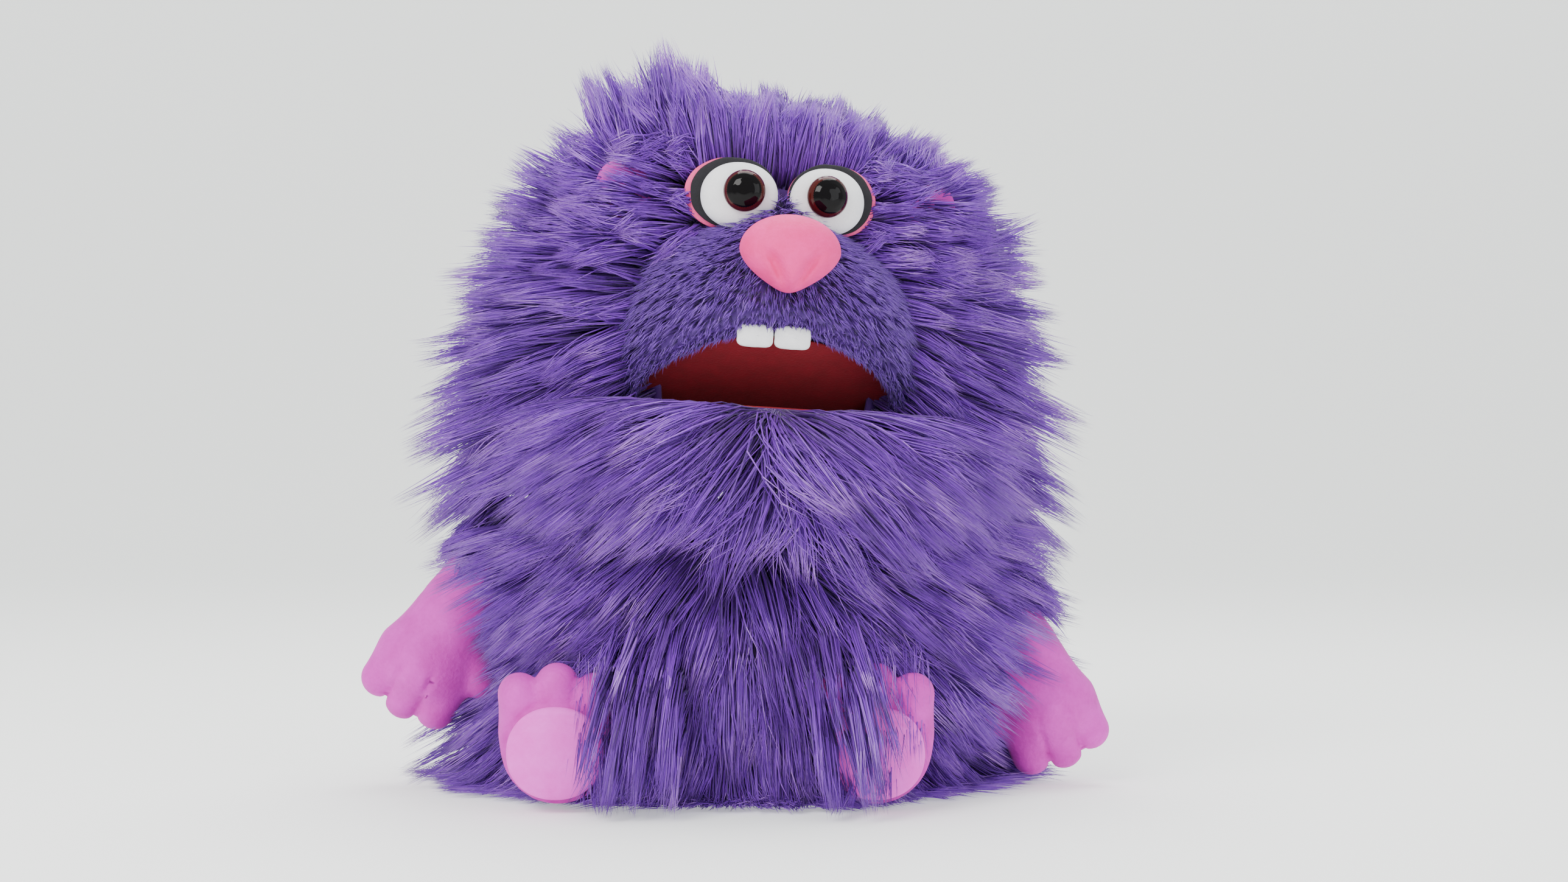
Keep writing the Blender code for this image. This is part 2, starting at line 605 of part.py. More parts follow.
def make_legs(fur):
    """Short legs with plush feet, three toes up and the soles to the front."""
    for side, sign in SIDES.items():
        hip = frame(side + "_hip", HIP[side])
        room = leg_clearance(hip)
        cut(fur[side], room)
        cut(fur["front"], room)
        profile = [(LEG_RADIUS * np.sin(a), LEG_RADIUS * np.cos(a)) for a in np.linspace(0.25, np.pi / 2, 4)]
        place(side + "_leg", turned(Vector((0, 0, 0)), profile + [(LEG_RADIUS, -0.0215)]), "pink_plush", hip)
        pieces = [ellipsoid((0, -0.0345, 0.0075), (0.0240, 0.0115, 0.0262), 16, 10)]
        for toe in (-1, 0, 1):
            root, top = toe * 0.0150, 0.0340 - 0.0035 * abs(toe)
            pieces.append(capsule((root, -0.0345, 0.0135), (root * 1.08, -0.0355, top), 0.0083, around=10))
        stuffed(side + "_foot", pieces, "pink_plush", hip)
        sole = frame(side + "_sole_frame", (0, 0, 0.0070), parent=hip)
        place(side + "_sole", dome_disc(0.0200, 0.0235, -0.0470, -0.0490, 0.0008, 1, 18), "pink_plush", sole)


# --- Assembly ------------------------------------------------------------------------------------------------

torso_skin = make_torso()
neck_lower = frame("neck_turn_frame", NECK, (0.0, 0.0, HEAD_YAW))
place("neck_ring_lower", ball_ring(-28, -11), "lining", neck_lower)
neck_upper = frame("neck_tilt_frame", (0, 0, 0), (0.0, HEAD_ROLL, 0.0), neck_lower)
place("neck_ring_upper", ball_ring(1, 14), "lining", neck_upper)
head_frame = frame("head_frame", (0, 0, 0), parent=neck_upper)
brow_pad, top_filling = make_head_skin(head_frame)
make_muzzle(head_frame)
make_eyes(head_frame, brow_pad, top_filling)
make_ears(head_frame)
jaw_frame = frame("jaw_frame", JAW_HINGE, parent=head_frame)
make_mouth(head_frame, jaw_frame)
make_arms()
make_legs(torso_skin)
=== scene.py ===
import json
import math

import bpy
import numpy as np
from mathutils import Matrix, Vector


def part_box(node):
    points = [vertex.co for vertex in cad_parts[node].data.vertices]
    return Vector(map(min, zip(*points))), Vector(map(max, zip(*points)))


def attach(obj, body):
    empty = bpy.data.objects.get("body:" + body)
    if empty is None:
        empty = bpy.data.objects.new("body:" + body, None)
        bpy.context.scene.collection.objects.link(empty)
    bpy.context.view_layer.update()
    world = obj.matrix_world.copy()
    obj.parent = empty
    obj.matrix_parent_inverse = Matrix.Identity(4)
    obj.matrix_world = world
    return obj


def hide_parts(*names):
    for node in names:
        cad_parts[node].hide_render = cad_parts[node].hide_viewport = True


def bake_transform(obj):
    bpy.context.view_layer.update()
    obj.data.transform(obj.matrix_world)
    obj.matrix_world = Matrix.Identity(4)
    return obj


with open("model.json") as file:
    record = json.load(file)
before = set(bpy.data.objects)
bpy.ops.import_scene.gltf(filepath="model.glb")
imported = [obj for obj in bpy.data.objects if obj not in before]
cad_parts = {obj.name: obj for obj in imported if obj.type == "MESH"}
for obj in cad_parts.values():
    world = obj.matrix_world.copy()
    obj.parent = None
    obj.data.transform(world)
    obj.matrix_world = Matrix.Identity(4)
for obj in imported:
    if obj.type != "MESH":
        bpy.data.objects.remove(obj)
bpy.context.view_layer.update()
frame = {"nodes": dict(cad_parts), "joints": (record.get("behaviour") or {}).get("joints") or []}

# --- The table, the light and the camera ----------------------------------------------------------
# The puppet sits on a pale table that sweeps up into a pale backdrop, under large soft lights: one
# high in front on the left, a weaker one on the right and one above and behind for the hair's edge.

SIDES = (("left", -1), ("right", 1))
SWEEP_WIDTH, SWEEP_FRONT, SWEEP_BACK, SWEEP_HIGH, SWEEP_BEND = 7.0, -3.0, 2.6, 3.2, 0.8
SWEEP_GAP = 0.0004  # the table lies this far below the puppet


def new_mesh(name, points, faces):
    """A mesh object from arrays of points (n, 3) and of faces with equal corner counts (m, k)."""
    faces = np.asarray(faces, np.int32)
    mesh = bpy.data.meshes.new(name)
    mesh.vertices.add(len(points))
    mesh.vertices.foreach_set("co", np.asarray(points, np.float32).ravel())
    mesh.loops.add(faces.size)
    mesh.loops.foreach_set("vertex_index", faces.ravel())
    mesh.polygons.add(len(faces))
    mesh.polygons.foreach_set("loop_start", np.arange(len(faces), dtype=np.int32) * faces.shape[1])
    mesh.update(calc_edges=True)
    mesh.polygons.foreach_set("use_smooth", np.ones(len(faces), bool))
    made = bpy.data.objects.new(name, mesh)
    bpy.context.scene.collection.objects.link(made)
    return made


def grid_faces(rows, columns, wrap=False):
    """Quads between the points of a rows by columns grid; wrap joins the last column to the first."""
    row = np.arange(rows - 1)[:, None] * columns
    column = np.arange(columns if wrap else columns - 1)[None, :]
    after = (column + 1) % columns
    corners = [row + column, row + after, row + columns + after, row + columns + column]
    return np.stack(corners, 2).reshape(-1, 4)


def split(quads):
    """Two triangles from each quad."""
    return np.concatenate([quads[:, [0, 1, 2]], quads[:, [0, 2, 3]]])


def joined(*parts):
    """Numbers and arrays that broadcast together, side by side along a new last axis."""
    return np.stack(np.broadcast_arrays(*parts), -1)


def plain(name, colour, roughness, **sockets):
    """A Principled material with constant values on its own sockets."""
    made = bpy.data.materials.new(name)
    made.use_nodes = True
    shader = made.node_tree.nodes["Principled BSDF"]
    shader.inputs["Base Color"].default_value = (*colour, 1.0)
    shader.inputs["Roughness"].default_value = roughness
    for socket, value in sockets.items():
        shader.inputs[socket.replace("_", " ")].default_value = value
    return made


bend = np.linspace(0, math.pi / 2, 12)
sweep_y = np.concatenate([[SWEEP_FRONT], SWEEP_BACK - SWEEP_BEND + SWEEP_BEND * np.sin(bend), [SWEEP_BACK]])
sweep_z = np.concatenate([[0.0], SWEEP_BEND - SWEEP_BEND * np.cos(bend), [SWEEP_HIGH]]) - SWEEP_GAP
sweep_x = np.array([-SWEEP_WIDTH / 2, SWEEP_WIDTH / 2])
sweep_points = joined(sweep_x[None, :], sweep_y[:, None], sweep_z[:, None])
sweep = new_mesh("table_and_backdrop", sweep_points.reshape(-1, 3), grid_faces(len(sweep_y), 2))
sweep.data.materials.append(plain("pale_paper", (0.90, 0.91, 0.90), 0.75, Emission_Strength=0.45,
                                  Emission_Color=(0.97, 1.0, 0.98, 1.0)))


def soft_light(name, place, aim, size, power, colour):
    """A square area light at place, facing aim."""
    light = bpy.data.lights.new(name, "AREA")
    light.size, light.energy, light.color = size, power, colour
    lamp = bpy.data.objects.new(name, light)
    lamp.location = place
    lamp.rotation_euler = (Vector(aim) - Vector(place)).to_track_quat("-Z", "Y").to_euler()
    bpy.context.scene.collection.objects.link(lamp)


soft_light("key_light", (-0.75, -1.25, 1.25), (0, 0, 0.16), 0.8, 30.0, (1.0, 0.98, 0.96))
soft_light("fill_light", (1.3, -1.2, 0.6), (0, 0, 0.15), 1.1, 10.0, (0.94, 0.97, 1.0))
soft_light("top_light", (0.1, 0.35, 1.4), (0, 0, 0.2), 1.0, 20.0, (1.0, 1.0, 1.0))
world = bpy.context.scene.world or bpy.data.worlds.new("room")
bpy.context.scene.world = world
world.use_nodes = True
world.node_tree.nodes["Background"].inputs["Color"].default_value = (0.88, 0.90, 0.90, 1.0)
world.node_tree.nodes["Background"].inputs["Strength"].default_value = 1.10

view = bpy.data.cameras.new("view")
view.lens, view.sensor_width = 59.95, 36.0
camera = bpy.data.objects.new("view", view)
camera.location = (0.0184, -1.16, 0.152)
camera.rotation_euler = (math.pi / 2, 0, 0)
bpy.context.scene.collection.objects.link(camera)
bpy.context.scene.camera = camera

# --- Body: long-haired fur panels round the stuffed body ------------------------------------------
# Six panels of fur cloth are sewn round the filling: a front, two sides, two back halves and a bridge
# over the opening for the hand. The cloth's backing is a thin skin, and its pile is 56 to 84 mm long,
# shorter low down and beside the hands, in locks that narrow to a point.

joints = {joint["name"]: joint for joint in frame["joints"]}


def joint_place(name):
    """The point at rest that a joint turns about."""
    return np.array(joints[name]["pos_m"])


NECK = joint_place("head_turn")
BODY_LOW, BODY_TOP, BACKING = 0.001, 0.1185, 0.0012  # ends of the fur cloth, and its thickness
FRONT_SEAM, SIDE_SEAM, BACK_SEAM = 39.5, 105.5, 148.0  # azimuths of the seams, in degrees
BODY_CORE = np.array([  # height, half width, half depth of the stuffed body under the pile
    (0.000, 0.0630, 0.0600), (0.006, 0.0685, 0.0655), (0.020, 0.0722, 0.0682), (0.060, 0.0722, 0.0682),
    (0.090, 0.0672, 0.0632), (0.108, 0.0635, 0.0600), (BODY_TOP, 0.0592, 0.0585)])
# Hair colours are painted: darker at the root for the shade deep in the pile, lighter at the tip for the
# light it catches.
PILE_SHADED_ROOT, PILE_MIDDLE, PILE_LIT_TIP = (0.034, 0.002, 0.095), (0.200, 0.034, 0.500), (0.640, 0.330, 0.840)
PILE_TONES, SHADED_ROOT_TONE, PAINTED_TIP_LIGHT = 10, 0.15, 0.47  # materials in a palette, and how hair runs through them
LOWEST_HAIR = 0.0003
BODY_SAG, HEAD_SAG = 0.34, 0.24
HAIR = {"Sheen_Weight": 0.20, "Sheen_Roughness": 0.40, "Sheen_Tint": (0.80, 0.70, 1.0, 1.0),
        "Specular_IOR_Level": 0.35}


def pile_palette(name, root, middle, tip):
    """Materials for hair from its root, darkened with painted shade, through its own colour, to its tip,
    lightened with painted light.
    """
    share = np.linspace(0, 1, PILE_TONES)[:, None]
    root, middle, tip = (np.array(colour)[None, :] for colour in (root, middle, tip))
    low, high = np.clip(share / 0.55, 0, 1), np.clip((share - 0.55) / 0.45, 0, 1)
    colours = root + (middle - root) * low ** 1.2 + (tip - middle) * high ** 1.3
    return [plain(f"{name}_{k}", tuple(c), 0.52, **HAIR) for k, c in enumerate(colours.tolist())]


long_pile = pile_palette("long_pile", PILE_SHADED_ROOT, PILE_MIDDLE, PILE_LIT_TIP)


def unit(vectors):
    """Vectors at length 1, along the last axis."""
    return vectors / (np.linalg.norm(vectors, axis=-1, keepdims=True) + 1e-12)


def shell(outer, thickness, normal):
    """Points and triangles of a closed thin cloth: a grid (rows, columns, 3), a copy of it pushed in
    along the normals, and a rim that joins their edges."""
    rows, columns = outer.shape[:2]
    inner = outer - normal * thickness
    faces = grid_faces(rows, columns)
    count = rows * columns
    index = np.arange(count).reshape(rows, columns)
    edge = np.concatenate([index[0, :-1], index[:-1, -1], index[-1, :0:-1], index[:0:-1, 0]])
    after = np.roll(edge, -1)
    rim = np.stack([after, edge, edge + count, after + count], 1)
    quads = np.concatenate([faces, faces[:, ::-1] + count, rim])
    return np.concatenate([outer.reshape(-1, 3), inner.reshape(-1, 3)]), split(quads)


def hair_paths(root, first, comb, length, weight, keep_out, steps=4):
    """Centre lines (n, steps + 1, 3): each hair leaves along first, turns towards comb and sags.

    Direction at step j = unit(first (1 - u) + comb u - up * weight * u), with u growing from 0 to 1,
    and every point is then moved out of the bodies in keep_out."""
    path = [root]
    for j in range(steps):
        u = ((j + 0.35) / steps) ** 0.8
        way = unit(first * (1 - u) + comb * u)
        way[:, 2] -= weight * u
        path.append(keep_out(path[-1] + unit(way) * (length / steps)[:, None], (j + 1) / steps))
    return np.stack(path, 1)


def locks(path, root, lock_count, random, hold, loose):
    """Draw the hairs of each lock together towards its own tip.

    A hair moves from its own line to its lock's line by hold * share^1.1, where share runs from 0 at
    the root to 1 at the tip; the part called loose keeps mostly to itself."""
    leader = random.choice(len(root), lock_count, replace=False)
    chunk = [np.argmin(((part[:, None] - root[leader][None]) ** 2).sum(2), 1)
             for part in np.array_split(root, max(1, len(root) // 1500))]
    member = np.concatenate(chunk)
    own = leader[member]
    share = np.linspace(0, 1, path.shape[1])[None, :, None]
    strength = np.where(random.random(len(root)) < loose, 0.30, hold) * random.uniform(0.85, 1.08, len(root))
    spread = random.normal(size=(len(root), 1, 3)) * 0.0016
    target = path[own] + (root - root[own])[:, None] * (1 - share) ** 1.2 + spread * share
    return path + (target - path) * np.clip(strength, 0, 1)[:, None, None] * share ** 1.1, member


def hair_mesh(path, width, tone, random, shade):
    """Points, triangles and palette numbers of closed three-sided hairs that taper along their paths, from
    a root darkened by painted shade to a tip lit by painted light; shade is how much a hair's own tone
    counts."""
    count, stations = path.shape[:2]
    along = unit(np.gradient(path, axis=1))
    side = unit(np.cross(along, random.normal(size=(count, 1, 3))))
    other = np.cross(along, side)
    share = np.linspace(0, 1, stations)
    size = width[:, None] * (1 - 0.90 * share[None, :] ** 1.6)
    angle = np.arange(3) * 2 * np.pi / 3
    ring = (side[:, :, None] * np.cos(angle)[:, None] + other[:, :, None] * np.sin(angle)[:, None])
    rings = path[:, :-1, None] + ring[:, :-1] * size[:, :-1, None, None]
    points = np.concatenate([rings.reshape(count, -1, 3), path[:, -1:]], 1)
    points[..., 2] = np.maximum(points[..., 2], LOWEST_HAIR)
    tip = 3 * (stations - 1)
    low = (np.arange(stations - 2)[:, None] * 3 + np.arange(3)[None, :]).ravel()
    after = (np.arange(stations - 2)[:, None] * 3 + (np.arange(3)[None, :] + 1) % 3).ravel()
    last = tip - 3 + np.arange(3)
    faces = np.concatenate([
        np.stack([low, after, after + 3], 1), np.stack([low, after + 3, low + 3], 1),
        np.stack([last, tip - 3 + (np.arange(3) + 1) % 3, np.full(3, tip)], 1), [[0, 2, 1]]])
    station = np.concatenate([low // 3, low // 3, np.full(3, stations - 2), [0]])
    # painted shade at the root and painted light towards the tip: the palette number climbs along each hair
    blend = (station + 0.5) / (stations - 1)
    value = SHADED_ROOT_TONE + PAINTED_TIP_LIGHT * blend[None, :] + shade * tone[:, None]
    value = value + random.uniform(-0.06, 0.06, (count, len(blend)))
    colour = np.clip(value * PILE_TONES, 0, PILE_TONES - 1).astype(np.int32)
    triangles = faces[None] + (np.arange(count) * points.shape[1])[:, None, None]
    return points.reshape(-1, 3), triangles.reshape(-1, 3), colour.reshape(-1)


def pile(path, root, lock_count, random, width=(0.00036, 0.00062), contrast=(0.8, 0.3), shade=0.40,
         hold=0.86, loose=0.10):
    """Hair along centre lines: drawn into locks, toned lock by lock and hair by hair, then meshed."""
    path, member = locks(path, root, lock_count, random, hold, loose)
    by_lock, by_hair = contrast
    tone = random.uniform(-0.5, 0.5, lock_count)[member] * by_lock
    tone = tone + random.uniform(-by_hair, by_hair, len(path))
    return hair_mesh(path, random.uniform(*width, len(path)), tone, random, shade)


def fur_piece(name, cloth, hair, palette, body, node):
    """One panel of fur: its backing and its pile in one mesh, riding on a body in place of a CAD node."""
    cloth_points, cloth_faces = cloth
    points, triangles, colour = hair
    made = new_mesh(name, np.concatenate([cloth_points, points]),
                    np.concatenate([cloth_faces, triangles + len(cloth_points)]))
    for material in palette:
        made.data.materials.append(material)
    colours = np.concatenate([np.ones(len(cloth_faces), np.int32), colour])
    made.data.polygons.foreach_set("material_index", colours)
    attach(made, body)
    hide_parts(node)


def core_size(height, column):
    """The half width (column 1) or half depth (column 2) of the stuffed body at a height."""
    return np.interp(height, BODY_CORE[:, 0], BODY_CORE[:, column])


def body_core(azimuth, height):
    """Points and outward normals of the stuffed body; azimuth in radians from the front towards +X."""
    half_width, half_depth = core_size(height, 1), core_size(height, 2)
    slope = (core_size(height + 0.004, 1) - core_size(height - 0.004, 1)) / 0.008
    x, y = half_width * np.sin(azimuth), -half_depth * np.cos(azimuth)
    normal = joined(x / half_width ** 2, y / half_depth ** 2, -slope / half_width)
    return joined(x + NECK[0], y + NECK[1], height), unit(normal)


feet = [np.array(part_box(side + "_foot")) for side, _ in SIDES]
SHOULDER = 0.1200
FAR_BACK, FAR_FRONT, DRAWN_IN = 0.100, -0.116, 0.55


def clear_of_body(points, share):
    """Keep hair out of the stuffed body and the feet and above the table, and draw in what reaches far
    to the front or the back."""
    height = np.clip(points[:, 2], 0, BODY_TOP)
    half_width = core_size(height, 1) + 0.0015 + 0.006 * share
    half_depth = core_size(height, 2) + 0.0015 + 0.006 * share
    offset = points[:, :2] - NECK[:2]
    reach = np.hypot(offset[:, 0] / half_width, offset[:, 1] / half_depth)
    inside = np.where(points[:, 2] < SHOULDER, reach, 1)
    points[:, :2] = NECK[:2] + offset / np.clip(inside, 1e-3, 1)[:, None]
    for low, high in feet:
        centre, radius = (low + high) / 2, (high - low) / 2 * 1.12
        part = (points - centre) / radius
        depth = np.linalg.norm(part, axis=1)
        part *= (1 / np.clip(depth, 1e-3, 1))[:, None]
        points[:] = centre + part * radius
    floor = 0.0010 + 0.0012 * share
    points[:, 2] = np.where(points[:, 2] < floor, floor + (floor - points[:, 2]) * 0.08, points[:, 2])
    for far, side in ((FAR_BACK, 1), (FAR_FRONT, -1)):
        past = (points[:, 1] - far) * side
        points[:, 1] = np.where(past > 0, far + side * past * DRAWN_IN, points[:, 1])
    return points


def over_the_toes(points, share):
    """Hang hair in front of the feet."""
    in_front = np.clip(points[:, 1], -0.126, -0.092 - 0.018 * share)
    points[:, 1] = np.where(points[:, 2] < 0.060, in_front, points[:, 1])
    points[:, 2] = np.maximum(points[:, 2], 0.0015 + 0.001 * share)
    return points


PARTING = np.array([0.001, 0.0, 0.116])  # the hair of the chest falls away from here to all sides


def body_comb(point, normal, random):
    """The way the body's hair is combed: down and away from the parting in front, down and outwards
    round the sides, steeply down and inwards behind, with waves across it and a little scatter."""
    away = point - PARTING
    away[:, 1] = 0
    front = np.clip(-normal[:, 1] * 1.6, 0, 1)[:, None]
    fan = unit(away * np.array([1.25, 0, 1.0]) + np.array([0, 0, -0.020]))
    behind = np.clip(normal[:, 1] * 1.5, 0, 1)
    slope = np.interp(point[:, 2], (0.0, 0.060, 0.118), (-0.25, -0.40, -0.10)) * (1 - behind) - 1.1 * behind
    side = unit(joined(normal[:, 0] * 0.9 - point[:, 0] * 14 * behind, normal[:, 1] * 0.6, slope))
    wave = joined(np.sin(61 * point[:, 2] + 40 * point[:, 0]), np.sin(53 * point[:, 0] + 2),
                  np.sin(47 * point[:, 0] + 71 * point[:, 2])) * 0.14
    return unit(fan * front + side * (1 - front) + wave + random.normal(size=point.shape) * 0.12)


def grow_body(name, first, last, low, high, count, lock_count, seed):
    """One panel of the body's fur between two azimuths (degrees) and two heights."""
    random = np.random.default_rng(seed)
    azimuth = np.radians(random.uniform(first, last, count))
    height = low + (high - low) * random.random(count) ** 0.9
    root, normal = body_core(azimuth, height)
    comb = body_comb(root, normal, random)
    low_down = np.clip((0.045 - height) / 0.045, 0, 1)
    front = np.clip(-normal[:, 1], 0, 1)
    length = random.uniform(0.056, 0.084, count) + 0.006 * (1 - front) * (normal[:, 1] < 0.5)
    hand_height = 0.066 if first < 0 else 0.036
    beside_hand = np.exp(-((height - hand_height) / 0.024) ** 2)
    beside_hand = beside_hand * (np.abs(azimuth) > 0.55) * (np.abs(azimuth) < 1.5)
    length *= (1 - 0.38 * beside_hand) * (1 - 0.38 * low_down * np.abs(normal[:, 1]))
    stand = (0.55 + 0.35 * (1 - front) * (normal[:, 1] < 0.4) - 0.15 * (normal[:, 1] > 0.6))[:, None]
    start = unit(normal * stand + comb * (1 - stand))
    splay = unit(joined(root[:, 0] * 12, normal[:, 1] * 1.2, -np.clip(height / length, 0.02, 1)))
    comb = unit(comb * (1 - low_down)[:, None] + splay * low_down[:, None] + normal * 0.30)
    above_feet = (height > 0.026) & (height < 0.088) & (np.abs(azimuth) < 0.80)
    before_feet = (root[:, 0] > 0.026) | (np.abs(root[:, 0] + 0.037) < 0.016)
    apron = np.nonzero(above_feet & (random.random(count) < 0.55) & before_feet)[0]
    start[apron] = unit(joined(root[apron, 0] * 2, -1.0, 0.25))
    comb[apron] = unit(comb[apron] * [0.4, 0, 0.6] + [0, -0.20, -0.75])
    length[apron] = np.minimum(random.uniform(0.060, 0.086, len(apron)), height[apron] * 0.9 + 0.026)
    path = hair_paths(root, start, comb, length, BODY_SAG, clear_of_body)
    path[apron] = hair_paths(root[apron], start[apron], comb[apron], length[apron], BODY_SAG, over_the_toes)
    hair = pile(path, root, lock_count, random)
    columns, rows = np.radians(np.linspace(first - 1.5, last + 1.5, 25)), np.linspace(low, high, 16)
    point, out = body_core(columns[None, :], rows[:, None])
    fur_piece("fur_" + name, shell(point, BACKING, out), hair, long_pile, "torso", name)


grow_body("torso_fur_front", -FRONT_SEAM, FRONT_SEAM, BODY_LOW, 0.1180, 8000, 290, 11)
grow_body("torso_fur_left", -SIDE_SEAM, -FRONT_SEAM, BODY_LOW, BODY_TOP, 6000, 210, 12)
grow_body("torso_fur_right", FRONT_SEAM, SIDE_SEAM, BODY_LOW, BODY_TOP, 6000, 210, 13)
grow_body("torso_fur_back_left", -BACK_SEAM, -SIDE_SEAM, BODY_LOW, BODY_TOP, 3900, 180, 14)
grow_body("torso_fur_back_right", SIDE_SEAM, BACK_SEAM, BODY_LOW, BODY_TOP, 3900, 180, 15)
grow_body("torso_fur_back_upper", BACK_SEAM, 360 - BACK_SEAM, 0.088, BODY_TOP, 2600, 110, 16)

# --- Lining: the sleeve for the forearm, its bound opening, the neck cuffs and the seat -----------
# A plain woven lining makes the sleeve, open down the back, with piping sewn round its edge. Two cuffs
# of the same cloth join it to the head, and a disc of fur backing closes the seat under the filling.

SLEEVE_RADIUS, SLEEVE_LOW, SLEEVE_HIGH, SLEEVE_EDGE = 0.0455, 0.0142, 0.0950, 146.0
CUFF_RADIUS = 0.0540


def textured(name, colour, other, scale, roughness, bump=0.2, weave=0.0, mottle=6.0, **sockets):
    """Cloth: two shades mixed by coarse and fine noise, with fibres or a weave as bump, in object space."""
    made = plain(name, colour, roughness, **sockets)
    tree = made.node_tree
    shader = tree.nodes["Principled BSDF"]

    def add(kind, links=(), settings=(), **values):
        """A shader node with its settings, its constant inputs and its links to inputs by number or name."""
        node = tree.nodes.new("ShaderNode" + kind)
        for key, value in settings:
            setattr(node, key, value)
        for key, value in values.items():
            node.inputs[int(key[5:]) if key.startswith("input") else key].default_value = value
        for key, source in links:
            tree.links.new(source, node.inputs[key])
        return node

    where = add("TexCoord").outputs["Object"]
    fine = add("TexNoise", [("Vector", where)], Scale=scale, Detail=6.0).outputs["Fac"]
    coarse = add("TexNoise", [("Vector", where)], Scale=scale / mottle, Detail=3.0).outputs["Fac"]
    multiply_add = [("operation", "MULTIPLY_ADD")]
    share = add("Math", [(0, coarse)], multiply_add, input1=1.4, input2=-0.35)
    both = add("Math", [(0, fine), (2, share.outputs[0])], multiply_add + [("use_clamp", True)], input1=0.55)
    mix = add("Mix", [(0, both.outputs[0])], [("data_type", "RGBA")], input6=(*colour, 1), input7=(*other, 1))
    tree.links.new(mix.outputs[2], shader.inputs["Base Color"])
    height = fine
    if weave:
        threads = [add("TexWave", [("Vector", where)], [("bands_direction", axis)], Scale=weave,
                       Distortion=0.6).outputs["Fac"] for axis in ("X", "Z")]
        height = add("Math", enumerate(threads), [("operation", "MULTIPLY")]).outputs[0]
    rise = add("Bump", [("Height", height)], Strength=bump, Distance=0.0006)
    tree.links.new(rise.outputs["Normal"], shader.inputs["Normal"])
    return made


lining_cloth = textured("woven_lining", (0.085, 0.045, 0.160), (0.120, 0.070, 0.215), 900.0, 0.75, 0.35,
                        240.0, Sheen_Weight=0.15)
backing_cloth = textured("fur_backing", (0.060, 0.030, 0.140), (0.095, 0.050, 0.200), 700.0, 0.85, 0.3,
                         180.0)
stuffing = textured("stuffing", (0.78, 0.77, 0.73), (0.62, 0.61, 0.58), 260.0, 0.95, 0.6, Sheen_Weight=0.3)


def thin_cloth(name, outer, normal, thickness, material, body, nodes):
    """A piece of cloth over a grid of points, as a closed thin shell."""
    points, triangles = shell(outer, thickness, normal)
    made = new_mesh(name, points, triangles)
    made.data.materials.append(material)
    if body:
        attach(made, body)
    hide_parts(*nodes)
    return made


turn = np.radians(np.linspace(-SLEEVE_EDGE, SLEEVE_EDGE, 181))[None, :]
rise = np.linspace(SLEEVE_LOW, SLEEVE_HIGH, 30)[:, None]
puff = np.sin((rise - SLEEVE_LOW) / (SLEEVE_HIGH - SLEEVE_LOW) * np.pi)
crease = SLEEVE_RADIUS + 0.0006 * puff * np.sin(17 * turn + 60 * rise)
crease = crease + 0.0005 * puff * np.sin(41 * turn - 90 * rise)
facing = joined(np.sin(turn), -np.cos(turn), 0 * rise)
sleeve_grid = facing * crease[..., None] + joined(NECK[0], NECK[1], rise)
sleeve = thin_cloth("sleeve", sleeve_grid, facing, 0.0010, lining_cloth, "torso", ["sleeve_lining"])

HEAD_X, HEAD_Y = np.array(joints["head_nod"]["axis"]), -np.array(joints["head_tilt"]["axis"])
HEAD_AXES = np.stack([HEAD_X, HEAD_Y, np.cross(HEAD_X, HEAD_Y)])


def cuff(name, low, high, body, node, seed):
    """A gathered band of lining on a ball round the wrist, between two latitudes in degrees."""
    around = np.radians(np.linspace(-180, 180, 145))[None, :]
    latitude = np.radians(np.linspace(low, high, 14))[:, None]
    gather = CUFF_RADIUS - 0.0011 + 0.0005 * np.sin(29 * around + seed) + 0.0003 * np.sin(53 * around - seed)
    out = joined(np.sin(around) * np.cos(latitude), -np.cos(around) * np.cos(latitude), np.sin(latitude))
    out = out @ (HEAD_AXES if body == "neck_upper" else np.eye(3))
    band = thin_cloth(name, out * gather[..., None] + NECK, out, BACKING, lining_cloth, body,
                      [node])


cuff("lower_cuff", -28, -11, "neck_lower", "neck_ring_lower", 1.0)
cuff("upper_cuff", 1, 14, "neck_upper", "neck_ring_upper", 2.2)


def tube_along(name, path, radius, material, around=10):
    """A closed round bar along a path of points (n, 3), its ends drawn in to a point."""
    along = unit(np.gradient(path, axis=0))
    side = unit(np.cross(along, [0.31, 0.17, 0.93]))
    other = np.cross(along, side)
    size = np.full(len(path), radius)
    size[[0, -1]] = radius * 0.05
    angle = np.arange(around) * 2 * np.pi / around
    ring = side[:, None] * np.cos(angle)[None, :, None] + other[:, None] * np.sin(angle)[None, :, None]
    points = (path[:, None] + ring * size[:, None, None]).reshape(-1, 3)
    faces = grid_faces(len(path), around, wrap=True)[:, ::-1]
    fan = np.arange(1, around - 1)
    low = np.stack([0 * fan, fan, fan + 1], 1)
    last = (len(path) - 1) * around
    triangles = np.concatenate([split(faces), low, last + low[:, ::-1]])
    made = new_mesh(name, points, triangles[:, ::-1])
    made.data.materials.append(material)
    return made


HEM_EDGE, HEM_RADIUS = 153.0, 0.066  # azimuth in degrees, and the radius it runs at
quarter = np.linspace(0, np.pi / 2, 10)
climb = joined(HEM_EDGE, np.linspace(0.0060, 0.0690, 8))
bow = joined(HEM_EDGE + 14.0 * (1 - np.cos(quarter)), 0.0825 - 0.012 * (1 - np.sin(quarter)))
half = np.concatenate([climb, bow])
route = np.concatenate([half, joined(360 - half[::-1, 0], half[::-1, 1])])
fine = np.linspace(0, len(route) - 1, 160)
angle, height = (np.interp(fine, np.arange(len(route)), route[:, k]) for k in (0, 1))
hem_path = joined(NECK[0] + HEM_RADIUS * np.sin(np.radians(angle)),
                  NECK[1] - HEM_RADIUS * np.cos(np.radians(angle)), height)
hem = tube_along("opening_piping", hem_path, 0.0021, lining_cloth)
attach(hem, "torso")
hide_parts("opening_hem")

